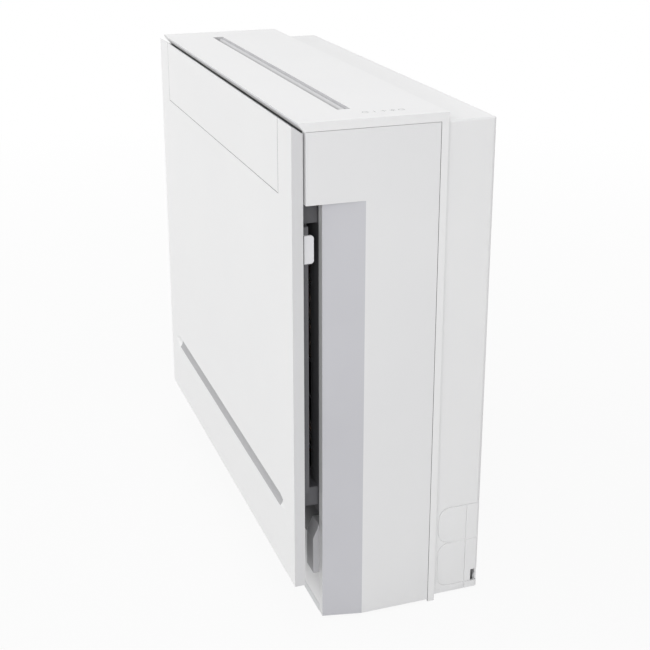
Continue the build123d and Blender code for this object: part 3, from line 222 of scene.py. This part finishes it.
PANEL_WHITE = Finish(
    "satin_panel_white", (0.84, 0.84, 0.84), (0.825, 0.825, 0.828), 0.30, coat=0.1, grain_depth=0.015
)
SHELL_WHITE = Finish(
    "moulded_shell_white", (0.80, 0.80, 0.802), (0.785, 0.785, 0.79), 0.42, grain_depth=0.05
)
SIDE_WHITE = Finish("moulded_side_white", (0.76, 0.76, 0.765), (0.74, 0.74, 0.748), 0.44, grain_depth=0.05)
RECESS_GREY = Finish("moulded_recess_grey", (0.55, 0.55, 0.58), (0.52, 0.52, 0.55), 0.46, grain_depth=0.05)
REAR_WHITE = Finish("moulded_rear_white", (0.79, 0.79, 0.793), (0.77, 0.77, 0.775), 0.46, grain_depth=0.06)
INNER_GREY = Finish("inner_grey_plastic", (0.34, 0.34, 0.355), (0.31, 0.31, 0.325), 0.5, grain_depth=0.06)
FILTER_WHITE = Finish("filter_white_plastic", (0.72, 0.72, 0.74), (0.70, 0.70, 0.72), 0.42)
FILTER_NET = Finish(
    "filter_net", (0.045, 0.045, 0.05), (0.03, 0.03, 0.035), 0.7,
    grain=Grain.WOVEN, grain_scale=260.0, grain_depth=0.6,
)
DUCT_GREY = Finish("duct_grey_plastic", (0.45, 0.45, 0.46), (0.42, 0.42, 0.43), 0.5, grain_depth=0.06)
ZINC = Finish(
    "zinc_sheet", (0.56, 0.57, 0.58), (0.47, 0.48, 0.49), 0.38,
    metal=0.85, grain_scale=240.0, grain_depth=0.05,
)
FIN_ALUMINIUM = Finish(
    "fin_aluminium", (0.80, 0.81, 0.82), (0.72, 0.73, 0.75), 0.35,
    metal=1.0, grain=Grain.FINNED, grain_scale=180.0, grain_depth=0.5,
)
COPPER = Finish("bare_copper", (0.72, 0.36, 0.20), (0.55, 0.25, 0.14), 0.3, metal=1.0, grain_scale=300.0)
BLACK_PAINT = Finish("black_paint", (0.018, 0.018, 0.019), (0.014, 0.014, 0.015), 0.35, coat=0.3)
MOTOR_STEEL = Finish(
    "motor_steel", (0.52, 0.52, 0.53), (0.45, 0.45, 0.46), 0.34, metal=1.0, grain=Grain.BRUSHED
)
FAN_GREY = Finish("fan_dark_plastic", (0.045, 0.045, 0.05), (0.035, 0.035, 0.04), 0.45)
RUBBER = Finish(
    "soft_rubber", (0.02, 0.02, 0.021), (0.014, 0.014, 0.015), 0.75, grain_scale=700.0, grain_depth=0.15
)
CIRCUIT = Finish("solder_mask", (0.015, 0.10, 0.045), (0.01, 0.07, 0.03), 0.25, coat=0.4)
MARK_GREY = Finish("printed_mark_grey", (0.40, 0.40, 0.41), (0.37, 0.37, 0.38), 0.5, grain_depth=0.01)
# Painted shade: a darker copy of the white for the front panel's side edge and the cap's rim band.
EDGE_PAINTED_SHADE = Finish("edge_painted_shade", (0.64, 0.64, 0.65), (0.62, 0.62, 0.63), 0.42, grain_depth=0.03)
# Painted shade: grey on the long faces of the wide groove in the white front panel.
CHANNEL_PAINTED_SHADE = Finish("channel_painted_shade", (0.42, 0.42, 0.43), (0.39, 0.39, 0.40), 0.42, grain_depth=0.03)
# Painted shade: dark grey on the floor of the thin panel outline and inside the seams between parts.
OUTLINE_PAINTED_SHADE = Finish("outline_painted_shade", (0.30, 0.30, 0.305), (0.27, 0.27, 0.275), 0.5, grain_depth=0.01)
FOOT_GREY = Finish("foot_grey_plastic", (0.42, 0.42, 0.435), (0.39, 0.39, 0.405), 0.5, grain_depth=0.06)
# Painted shade: near black standing in for the dark inside the intake cavity and the outlet slot.
CAVITY_PAINTED_SHADE = Finish("cavity_painted_shade", (0.10, 0.10, 0.108), (0.085, 0.085, 0.092), 0.5, grain_depth=0.06)
# Painted shade: the blade turns near black lower down, as shade deep in the slot.
FLAP_PAINTED_SHADE = Finish(
    "flap_painted_shade", (0.68, 0.68, 0.69), (0.09, 0.09, 0.095), 0.45,
    grain_depth=0.03, fade=(652.0 * MM, 665.0 * MM),
)
# Painted shade: the slot's rear wall turns near black lower down, as shade deep in the slot.
THROAT_PAINTED_SHADE = Finish(
    "throat_painted_shade", (0.66, 0.66, 0.67), (0.10, 0.10, 0.105), 0.45,
    grain_depth=0.03, fade=(650.0 * MM, 664.0 * MM),
)
TRAY_WHITE = Finish("tray_white", (0.78, 0.78, 0.785), (0.76, 0.76, 0.765), 0.44, grain_depth=0.04)

FINISH_OF_SLOT: dict[str, Finish] = {
    "white_panel": PANEL_WHITE,
    "white_shell": SHELL_WHITE,
    "inner_plastic": INNER_GREY,
    "filter_plastic": FILTER_WHITE,
    "filter_net": FILTER_NET,
    "flap_white": SHELL_WHITE,
    "duct_plastic": DUCT_GREY,
    "zinc_sheet": ZINC,
    "fin_aluminium": FIN_ALUMINIUM,
    "copper": COPPER,
    "black_steel": BLACK_PAINT,
    "motor_steel": MOTOR_STEEL,
    "fan_plastic": FAN_GREY,
    "rubber": RUBBER,
    "circuit": CIRCUIT,
    "screw_steel": ZINC,
}


def dress(piece: bpy.types.Object, finish: Finish) -> None:
    """Gives a piece one finish in its only material slot.

    Args:
        piece: the object to dress.
        finish: the finish it gets.
    """
    piece.data.materials.clear()
    piece.data.materials.append(finish.material())


def settle(mesh: bmesh.types.BMesh) -> None:
    """Puts points and faces in an order of place, because the operators' own order changes from run to run.

    Args:
        mesh: the mesh to put in order.
    """
    for index, vert in enumerate(sorted(mesh.verts, key=lambda v: tuple(v.co))):
        vert.index = index
    mesh.verts.sort()
    for index, face in enumerate(sorted(mesh.faces, key=lambda f: sorted(tuple(v.co) for v in f.verts))):
        face.index = index
    mesh.faces.sort()


def keep(mesh: bmesh.types.BMesh, name: str, body: str, finish: Finish) -> bpy.types.Object:
    """Turns a finished bmesh into a piece that rides on a body.

    Args:
        mesh: the shape, which is freed here.
        name: piece name.
        body: body that it moves with.
        finish: the finish it gets.

    Returns:
        The new piece, with its object at the origin.
    """
    bmesh.ops.recalc_face_normals(mesh, faces=mesh.faces)
    settle(mesh)
    data = bpy.data.meshes.new(name)
    mesh.to_mesh(data)
    mesh.free()
    piece = bpy.data.objects.new(name, data)
    bpy.context.scene.collection.objects.link(piece)
    dress(piece, finish)
    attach(piece, body)
    LOG.info("%s rides on %s", name, body)
    return piece


# Limits of the zones in millimetres, with X counted from the middle to either side
RECESS_TOP = 568.0
THROAT_Y = (-59.0, -38.0)
THROAT_HALF = 292.0
THROAT_TOP = 663.5
BAND_FOOT = 650.0
BAND_Y = (-125.0, 52.0)
PANEL_SIDE = 341.0
GROOVE_Y = (-130.9, -130.1)
GROOVE_FOOT = 560.0
CHANNEL_Y = (-130.95, -122.0)
CHANNEL_Z = (140.0, 170.0)
CHANNEL_HALF = 282.0
SEAM_Y = (52.0, 55.0)
SEAM_REACH = 330.0
TAB_FOOT = 331.2
TRAY_TOP = 60.0
TRAY_FRONT = -91.0

# Parts of a unit normal: a face square to an axis, one that slants, one that looks forward
SQUARE = 0.9
SLANT = (0.1, 0.5)
FORWARD = -0.5


class Zone(Enum):
    """A part of a shell that has a finish of its own; the throat, rear throat, band, panel edge, groove,
    channel and seam finishes are painted shade.
    """

    RECESS = "slanting faces beside the intake"
    THROAT = "front wall and ends of the outlet slot"
    THROAT_REAR = "rear wall of the outlet slot"
    BAND = "upright rim of the cap"
    PANEL_EDGE = "edge of the front panel"
    PANEL_GROOVE = "floor of the thin outline on the front panel"
    PANEL_CHANNEL = "long faces of the wide groove on the front panel"
    TAB = "grip of the filter"
    SEAM = "faces inside the seam between side panel and cap leg"
    TRAY = "sloping tray above the base"

    def holds(self, face: bpy.types.MeshPolygon) -> bool:
        """Tells whether a face lies in this zone.

        Args:
            face: a face of the shell.

        Returns:
            True where it does.
        """
        x, y, z = (abs(face.center.x) / MM, face.center.y / MM, face.center.z / MM)
        normal = face.normal
        in_throat = THROAT_Y[0] < y < THROAT_Y[1] and x < THROAT_HALF and z < THROAT_TOP
        tests = {
            Zone.RECESS: SLANT[0] < abs(normal.y) < SLANT[1] and z < RECESS_TOP,
            Zone.THROAT: in_throat and normal.y > FORWARD and abs(normal.z) < SQUARE,
            Zone.THROAT_REAR: in_throat and normal.y <= FORWARD,
            Zone.BAND: abs(normal.x) > SQUARE and z > BAND_FOOT and BAND_Y[0] < y < BAND_Y[1],
            Zone.PANEL_EDGE: abs(normal.x) > SQUARE and x > PANEL_SIDE,
            Zone.PANEL_GROOVE: GROOVE_Y[0] < y < GROOVE_Y[1] and z > GROOVE_FOOT,
            Zone.PANEL_CHANNEL: (
                CHANNEL_Y[0] < y < CHANNEL_Y[1] and CHANNEL_Z[0] < z < CHANNEL_Z[1] and x < CHANNEL_HALF
            ),
            Zone.SEAM: abs(normal.y) > SQUARE and SEAM_Y[0] < y < SEAM_Y[1] and x > SEAM_REACH,
            Zone.TAB: x > TAB_FOOT,
            Zone.TRAY: normal.z > SLANT[0] and z < TRAY_TOP and y > TRAY_FRONT,
        }
        return tests[self]


@dataclass
class SoftenedShell:
    """A shell whose CAD edges get the small round that a moulding has.

    Args:
        node: CAD node that it stands for.
        body: body that it rides on.
        slot: material slot of the record; not used.
        finish: finish of the shell.
        round_mm: edge round in millimetres.
        segments: facets across each round.
        sink_mm: how far its top face is let down for printed marks.
        crease_deg: least turn between two faces that shows as a crease.
        zones: zones with a finish of their own, most of them painted shade.
        cut_y: planes across Y at which its faces are parted, so that a zone can end there.
    """

    node: str
    body: str
    slot: str
    finish: Finish
    round_mm: float = 0.6
    segments: int = 3
    sink_mm: float = 0.0
    crease_deg: float = 20.0
    zones: tuple[tuple[Zone, Finish], ...] = ()
    cut_y: tuple[float, ...] = ()

    def build(self) -> bpy.types.Object:
        """Copies the node, cleans its faces and rounds its edges.

        Returns:
            The rounded piece, which replaces the node.
        """
        mesh = bmesh.new()
        mesh.from_mesh(frame["nodes"][self.node].data)
        bmesh.ops.remove_doubles(mesh, verts=mesh.verts, dist=WELD)
        bmesh.ops.dissolve_limit(mesh, angle_limit=math.radians(FLAT_DEG), verts=mesh.verts, edges=mesh.edges)
        for y in self.cut_y:
            everything = mesh.verts[:] + mesh.edges[:] + mesh.faces[:]
            bmesh.ops.bisect_plane(
                mesh, geom=everything, dist=CUT_REACH, plane_co=(0, y, 0), plane_no=(0, 1, 0)
            )
        if self.sink_mm:
            top = max(v.co.z for v in mesh.verts)
            high = [v for v in mesh.verts if v.co.z > top - TOP_REACH]
            bmesh.ops.translate(mesh, verts=high, vec=(0, 0, -self.sink_mm * MM))
        bmesh.ops.recalc_face_normals(mesh, faces=mesh.faces)
        for face in mesh.faces:
            face.smooth = True
        data = bpy.data.meshes.new(f"{self.node}_shell")
        mesh.to_mesh(data)
        mesh.free()
        data.set_sharp_from_angle(angle=math.radians(self.crease_deg))
        piece = bpy.data.objects.new(f"{self.node}_shell", data)
        bpy.context.scene.collection.objects.link(piece)
        soften = piece.modifiers.new("edge_round", "BEVEL")
        soften.width = self.round_mm * MM
        soften.segments = self.segments
        soften.limit_method = "ANGLE"
        soften.angle_limit = math.radians(ROUND_FROM_DEG)
        soften.use_clamp_overlap = True
        soften.harden_normals = True
        dress(piece, self.finish)
        for index, (zone, finish) in enumerate(self.zones, start=1):
            piece.data.materials.append(finish.material())
            for face in piece.data.polygons:
                if zone.holds(face):
                    face.material_index = index
        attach(piece, self.body)
        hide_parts(self.node)
        LOG.info("%s stands for %s", piece.name, self.node)
        return piece


@dataclass
class OutletFlap:
    """Curved blade in the top slot, open as in the photograph.

    Args:
        pivot_y: place of its hinge along Y.
        pivot_z: height of its hinge.
        half_length: half of the blade's length.
        chord: blade's width along its curve.
        thickness: blade's wall.
        radius: radius of the blade's curve.
        drop_deg: how far the blade hangs below level at rest.
        drive_pin: how far the pin stands out at the motor's end.
        free_pin: how far it stands out at the other end.
        pin_radius: radius of the pin.
        crown: height of the blade's upper face over the hinge, at its root.
        lean: share of the curve that is turned back, so that the blade hangs evenly.
        curve_steps: facets along the curve.
        pin_sides: facets round the pin.
    """

    pivot_y: float = -42.5 * MM
    pivot_z: float = 660.0 * MM
    half_length: float = 288.0 * MM
    chord: float = 14.0 * MM
    thickness: float = 1.6 * MM
    radius: float = 26.0 * MM
    drop_deg: float = 60.0
    drive_pin: float = 11.0 * MM
    free_pin: float = 5.0 * MM
    pin_radius: float = 1.5 * MM
    crown: float = 3.4 * MM
    lean: float = 0.42
    curve_steps: int = 10
    pin_sides: int = 20

    def build(self) -> bpy.types.Object:
        """Spins the blade's end face round its curve and adds the pins.

        Returns:
            The flap, which replaces the plain one.
        """
        mesh = bmesh.new()
        middle = self.crown - self.thickness / 2
        start = bmesh.ops.create_grid(mesh, x_segments=1, y_segments=1, size=0.5)["verts"]
        bmesh.ops.scale(mesh, verts=start, vec=(2 * self.half_length, self.thickness, 1.0))
        bmesh.ops.rotate(mesh, verts=start, cent=(0, 0, 0), matrix=Matrix.Rotation(math.pi / 2, 3, "X"))
        bmesh.ops.translate(mesh, verts=start, vec=(0, self.pin_radius, middle))
        angle = (self.chord + self.pin_radius) / self.radius
        bmesh.ops.spin(
            mesh,
            geom=mesh.faces[:] + mesh.edges[:] + mesh.verts[:],
            cent=(0, self.pin_radius, middle - self.radius),
            axis=(1, 0, 0),
            angle=angle,
            steps=self.curve_steps,
        )
        lean = Matrix.Rotation(-angle * self.lean, 3, "X")
        bmesh.ops.rotate(mesh, verts=mesh.verts[:], cent=(0, self.pin_radius, self.crown), matrix=lean)
        along = Matrix.Rotation(math.pi / 2, 4, "Y")
        bmesh.ops.create_cone(
            mesh,
            cap_ends=True,
            segments=self.pin_sides,
            radius1=self.pin_radius,
            radius2=self.pin_radius,
            depth=2 * self.half_length + self.drive_pin + self.free_pin,
            matrix=Matrix.Translation(((self.drive_pin - self.free_pin) / 2, 0, 0)) @ along,
        )
        drop = Matrix.Rotation(math.radians(self.drop_deg), 3, "X")
        bmesh.ops.rotate(mesh, verts=mesh.verts, cent=(0, 0, 0), matrix=drop)
        bmesh.ops.translate(mesh, verts=mesh.verts, vec=(0, self.pivot_y, self.pivot_z))
        # The blade's finish is painted shade that darkens towards its lower edge.
        piece = keep(mesh, "outlet_flap_blade", "flap", FLAP_PAINTED_SHADE)
        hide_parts("outlet_flap")
        return piece


class Icon(Enum):
    """Plain marks of the touch keys."""

    POWER = "power"
    MINUS = "minus"
    PLUS = "plus"
    FAN = "fan"
    CLOCK = "clock"


@dataclass
class TouchMarks:
    """Row of plain printed marks over the touch board, at the right end of the cap.

    Args:
        x: middle of the row along X.
        first_y: place of the first mark.
        pitch: distance from mark to mark.
        size: size of one mark.
        line: width of a mark's lines.
        film: thickness of the print.
        top_z: height of its upper face.
        power_ring_deg: how much of the power mark's ring is drawn.
        clock_ring_deg: how much of the clock mark's ring is drawn.
        hand: length of an upright hand as a share of the mark's radius.
        ring_steps: facets round a ring.
    """

    x: float = 315.0 * MM
    first_y: float = -31.0 * MM
    pitch: float = 11.5 * MM
    size: float = 7.5 * MM
    line: float = 0.8 * MM
    film: float = 0.05 * MM
    top_z: float = 665.0 * MM
    power_ring_deg: float = 300.0
    clock_ring_deg: float = 330.0
    hand: float = 0.8
    ring_steps: int = 24

    def build(self) -> None:
        """Prints every mark in turn."""
        for i, icon in enumerate(Icon):
            mesh = bmesh.new()
            self._draw(mesh, icon)
            place = (self.x, self.first_y + i * self.pitch, self.top_z - self.film / 2)
            bmesh.ops.translate(mesh, verts=mesh.verts, vec=place)
            keep(mesh, f"touch_mark_{icon.value}", "cabinet", MARK_GREY)

    def _bar(
        self, mesh: bmesh.types.BMesh, length: float, angle: float, at: tuple[float, float] = (0, 0)
    ) -> None:
        """Adds one flat bar of the mark.

        Args:
            mesh: mark being drawn.
            length: bar's length.
            angle: bar's turn from X, in degrees.
            at: bar's middle.
        """
        turn = Matrix.Translation((at[0], at[1], 0)) @ Matrix.Rotation(math.radians(angle), 4, "Z")
        shape = Matrix.Diagonal((length, self.line, self.film, 1))
        bmesh.ops.create_cube(mesh, size=1.0, matrix=turn @ shape)

    def _ring(self, mesh: bmesh.types.BMesh, radius: float, angle: float) -> None:
        """Adds a flat ring, whole or open.

        Args:
            mesh: mark being drawn.
            radius: ring's middle radius.
            angle: how much of the ring is drawn, in degrees.
        """
        start = bmesh.ops.create_grid(mesh, x_segments=1, y_segments=1, size=0.5)["verts"]
        bmesh.ops.scale(mesh, verts=start, vec=(self.line, self.film, 1))
        bmesh.ops.rotate(mesh, verts=start, cent=(0, 0, 0), matrix=Matrix.Rotation(math.pi / 2, 3, "X"))
        bmesh.ops.translate(mesh, verts=start, vec=(radius, 0, 0))
        first = Matrix.Rotation(math.radians(90 + (360 - angle) / 2), 3, "Z")
        bmesh.ops.rotate(mesh, verts=start, cent=(0, 0, 0), matrix=first)
        faces = list({f for v in start for f in v.link_faces})
        edges = list({e for v in start for e in v.link_edges})
        bmesh.ops.spin(
            mesh,
            geom=faces + edges + start,
            cent=(0, 0, 0),
            axis=(0, 0, 1),
            angle=math.radians(angle),
            steps=self.ring_steps,
        )

    def _draw(self, mesh: bmesh.types.BMesh, icon: Icon) -> None:
        """Draws one mark round the origin.

        Args:
            mesh: mark being drawn.
            icon: which mark it is.
        """
        radius = self.size / 2
        if icon is Icon.POWER:
            self._ring(mesh, radius, self.power_ring_deg)
            self._bar(mesh, radius, 90, (0, radius * self.hand))
        elif icon is Icon.MINUS:
            self._bar(mesh, self.size, 0)
        elif icon is Icon.PLUS:
            self._bar(mesh, self.size, 0)
            self._bar(mesh, self.size, 90)
        elif icon is Icon.FAN:
            for turn in (0, 60, 120):
                self._bar(mesh, self.size, turn)
        else:
            self._ring(mesh, radius, self.clock_ring_deg)
            self._bar(mesh, radius * self.hand, 90, (0, radius * self.hand / 2))


@dataclass
class Machinery:
    """Every CAD node that keeps its own shape and gets its slot's finish."""

    def dress(self) -> None:
        """Dresses the nodes by the record's slots."""
        slots = {row["node"]: row["material_slot"] for row in frame["record"]["subparts"]}
        for name, node in frame["nodes"].items():
            dress(node, FINISH_OF_SLOT[slots[name]])
            LOG.info("%s dressed as %s", name, slots[name])


@dataclass(frozen=True)
class Lamp:
    """One soft square lamp that looks at the object's middle.

    Args:
        name: lamp's name.
        place: where it hangs.
        power: its power in watts.
        size: side of its square.
    """

    name: str
    place: tuple[float, float, float]
    power: float
    size: float


LAMPS: tuple[Lamp, ...] = (
    Lamp("key_lamp", (-1.6, -3.0, 2.2), 52.0, 2.4),
    Lamp("top_lamp", (0.2, -0.4, 3.2), 22.0, 2.6),
    Lamp("side_lamp", (3.2, -1.0, 1.4), 51.0, 2.2),
    Lamp("back_lamp", (-2.4, 3.0, 1.9), 24.0, 2.4),
)


@dataclass
class Studio:
    """Floor, light and camera.

    Args:
        floor_half: half of the floor's side.
        floor_cells: squares along the floor's side.
        floor_grey: colour of the floor, which the object's shadow darkens.
        floor_roughness: roughness of the floor.
        floor_gloss: specular level of the floor.
        glow_near: share of plain white that the floor shows near the object.
        glow_span: distances between which that share grows to the whole.
        ambient: strength of the even light from all sides.
        aim_height: height of the point that the lamps look at.
        sensor: width of the camera's sensor in millimetres.
        camera_place: where the camera stands.
        camera_yaw: how far it looks round from -X towards +Y, in degrees.
        camera_pitch: how far it looks down, in degrees.
        camera_lens: focal length in millimetres.
        camera_shift: upward shift of its picture.
    """

    floor_half: float = 14.0
    floor_cells: int = 8
    floor_grey: float = 0.58
    floor_roughness: float = 0.9
    floor_gloss: float = 0.1
    glow_near: float = 0.92
    glow_span: tuple[float, float] = (0.6, 2.6)
    ambient: float = 0.5
    aim_height: float = 0.33
    sensor: float = 36.0
    camera_place: tuple[float, float, float] = (1.665, -0.556, 0.976)
    camera_yaw: float = 19.39
    camera_pitch: float = 18.83
    camera_lens: float = 69.67
    camera_shift: float = -0.10

    def build(self) -> None:
        """Makes the whole studio."""
        self._world()
        self._floor()
        for lamp in LAMPS:
            self._hang(lamp)
        self._camera()
        bpy.context.scene.view_settings.view_transform = "Standard"

    def _world(self) -> None:
        """White behind the object for the camera and for reflections, even light for the rest."""
        world = bpy.data.worlds.new("studio_world")
        bpy.context.scene.world = world
        world.use_nodes = True
        nodes, links = world.node_tree.nodes, world.node_tree.links
        paths = nodes.new("ShaderNodeLightPath")
        seen, either = nodes.new("ShaderNodeMath"), nodes.new("ShaderNodeMath")
        seen.operation = either.operation = "MAXIMUM"
        links.new(paths.outputs["Is Camera Ray"], either.inputs[0])
        links.new(paths.outputs["Is Transmission Ray"], either.inputs[1])
        links.new(either.outputs["Value"], seen.inputs[0])
        links.new(paths.outputs["Is Glossy Ray"], seen.inputs[1])
        level = nodes.new("ShaderNodeMapRange")
        level.inputs["To Min"].default_value = self.ambient
        level.inputs["To Max"].default_value = 1.0
        links.new(seen.outputs["Value"], level.inputs["Value"])
        links.new(level.outputs["Result"], nodes["Background"].inputs["Strength"])
        nodes["Background"].inputs["Color"].default_value = (1.0, 1.0, 1.0, 1.0)

    def _floor(self) -> None:
        """Pale floor that shows nearly white and keeps the object's shadow."""
        mesh = bmesh.new()
        bmesh.ops.create_grid(
            mesh, x_segments=self.floor_cells, y_segments=self.floor_cells, size=self.floor_half
        )
        data = bpy.data.meshes.new("studio_floor")
        mesh.to_mesh(data)
        mesh.free()
        floor = bpy.data.objects.new("studio_floor", data)
        bpy.context.scene.collection.objects.link(floor)
        paint = bpy.data.materials.new("floor_paint")
        paint.use_nodes = True
        nodes, links = paint.node_tree.nodes, paint.node_tree.links
        shader = nodes["Principled BSDF"]
        shader.inputs["Base Color"].default_value = (self.floor_grey, self.floor_grey, self.floor_grey, 1.0)
        shader.inputs["Roughness"].default_value = self.floor_roughness
        shader.inputs["Specular IOR Level"].default_value = self.floor_gloss
        glow = nodes.new("ShaderNodeEmission")
        paths = nodes.new("ShaderNodeLightPath")
        seen = nodes.new("ShaderNodeMath")
        seen.operation = "MAXIMUM"
        links.new(paths.outputs["Is Camera Ray"], seen.inputs[0])
        links.new(paths.outputs["Is Glossy Ray"], seen.inputs[1])
        coords = nodes.new("ShaderNodeTexCoord")
        reach = nodes.new("ShaderNodeVectorMath")
        reach.operation = "LENGTH"
        links.new(coords.outputs["Object"], reach.inputs[0])
        fade = nodes.new("ShaderNodeMapRange")
        fade.inputs["From Min"].default_value = self.glow_span[0]
        fade.inputs["From Max"].default_value = self.glow_span[1]
        fade.inputs["To Min"].default_value = self.glow_near
        fade.inputs["To Max"].default_value = 1.0
        links.new(reach.outputs["Value"], fade.inputs["Value"])
        share = nodes.new("ShaderNodeMath")
        share.operation = "MULTIPLY"
        links.new(seen.outputs["Value"], share.inputs[0])
        links.new(fade.outputs["Result"], share.inputs[1])
        blend = nodes.new("ShaderNodeMixShader")
        links.new(share.outputs["Value"], blend.inputs["Fac"])
        links.new(shader.outputs["BSDF"], blend.inputs[1])
        links.new(glow.outputs["Emission"], blend.inputs[2])
        links.new(blend.outputs["Shader"], nodes["Material Output"].inputs["Surface"])
        data.materials.append(paint)

    def _hang(self, lamp: Lamp) -> None:
        """Hangs one lamp and turns it to the object's middle.

        Args:
            lamp: the lamp to hang.
        """
        data = bpy.data.lights.new(lamp.name, "AREA")
        data.energy = lamp.power
        data.size = lamp.size
        light = bpy.data.objects.new(lamp.name, data)
        light.location = lamp.place
        aim = Vector((0, 0, self.aim_height)) - Vector(lamp.place)
        light.rotation_euler = aim.to_track_quat("-Z", "Y").to_euler()
        bpy.context.scene.collection.objects.link(light)

    def _camera(self) -> None:
        """Sets the camera at the photograph's viewing angle."""
        data = bpy.data.cameras.new("camera")
        data.sensor_width = self.sensor
        data.lens = self.camera_lens
        data.shift_y = self.camera_shift
        camera = bpy.data.objects.new("camera", data)
        yaw, pitch = math.radians(self.camera_yaw), math.radians(self.camera_pitch)
        level = math.cos(pitch)
        forward = Vector((-math.cos(yaw) * level, math.sin(yaw) * level, -math.sin(pitch)))
        camera.location = self.camera_place
        camera.rotation_euler = forward.to_track_quat("-Z", "Y").to_euler()
        bpy.context.scene.collection.objects.link(camera)
        bpy.context.scene.camera = camera


# The recess keeps its own grey; the seam's dark is painted shade.
SIDE_ZONES = ((Zone.RECESS, RECESS_GREY), (Zone.SEAM, OUTLINE_PAINTED_SHADE))
FILTER_ZONES = ((Zone.TAB, FILTER_WHITE),)
# All panel zones are painted shade: the darker side edge, the dark outline floor and the grey groove.
PANEL_ZONES = (
    (Zone.PANEL_EDGE, EDGE_PAINTED_SHADE),
    (Zone.PANEL_GROOVE, OUTLINE_PAINTED_SHADE),
    (Zone.PANEL_CHANNEL, CHANNEL_PAINTED_SHADE),
)
# All cap zones are painted shade: the slot walls, the rim band and the seam.
COVER_ZONES = (
    (Zone.THROAT, CAVITY_PAINTED_SHADE),
    (Zone.THROAT_REAR, THROAT_PAINTED_SHADE),
    (Zone.BAND, EDGE_PAINTED_SHADE),
    (Zone.SEAM, OUTLINE_PAINTED_SHADE),
)
COVER_CUTS = (53.6 * MM,)
FRAME_ZONES = ((Zone.TRAY, TRAY_WHITE),)

SHELLS: tuple[SoftenedShell, ...] = (
    SoftenedShell(
        "front_panel", "cabinet", "white_panel", PANEL_WHITE, 0.7, crease_deg=5.0, zones=PANEL_ZONES
    ),
    SoftenedShell(
        "top_cover", "cabinet", "white_shell", SHELL_WHITE, 0.6,
        sink_mm=0.06, zones=COVER_ZONES, cut_y=COVER_CUTS,
    ),
    SoftenedShell(
        "side_panel_right", "cabinet", "white_shell", SIDE_WHITE, 0.5, crease_deg=8.0, zones=SIDE_ZONES
    ),
    SoftenedShell(
        "side_panel_left", "cabinet", "white_shell", SIDE_WHITE, 0.5, crease_deg=8.0, zones=SIDE_ZONES
    ),
    SoftenedShell("rear_cover", "cabinet", "white_shell", REAR_WHITE, 0.45, segments=2),
    SoftenedShell("intake_foot_right", "cabinet", "inner_plastic", FOOT_GREY, 0.8),
    SoftenedShell("intake_foot_left", "cabinet", "inner_plastic", FOOT_GREY, 0.8),
    # Rails, front frame and filter frames get painted shade, near black for the dark of the intake cavity.
    SoftenedShell("filter_rail_lower", "cabinet", "inner_plastic", CAVITY_PAINTED_SHADE, 0.3, segments=2),
    SoftenedShell("filter_rail_upper", "cabinet", "inner_plastic", CAVITY_PAINTED_SHADE, 0.3, segments=2),
    SoftenedShell(
        "front_frame", "cabinet", "inner_plastic", CAVITY_PAINTED_SHADE, 0.4, segments=2, zones=FRAME_ZONES
    ),
    SoftenedShell(
        "filter_right", "filter_right", "filter_plastic", CAVITY_PAINTED_SHADE, 0.4, segments=2, zones=FILTER_ZONES
    ),
    SoftenedShell(
        "filter_left", "filter_left", "filter_plastic", CAVITY_PAINTED_SHADE, 0.4, segments=2, zones=FILTER_ZONES
    ),
    SoftenedShell("wall_bracket", "cabinet", "zinc_sheet", ZINC, 0.4, segments=2),
)


def main() -> None:
    """Builds the studio and every part of the air conditioner, in order."""
    logging.basicConfig(level=logging.INFO, format="%(message)s")
    Studio().build()
    Machinery().dress()
    for shell in SHELLS:
        shell.build()
    OutletFlap().build()
    TouchMarks().build()


if __name__ == "__main__":
    main()
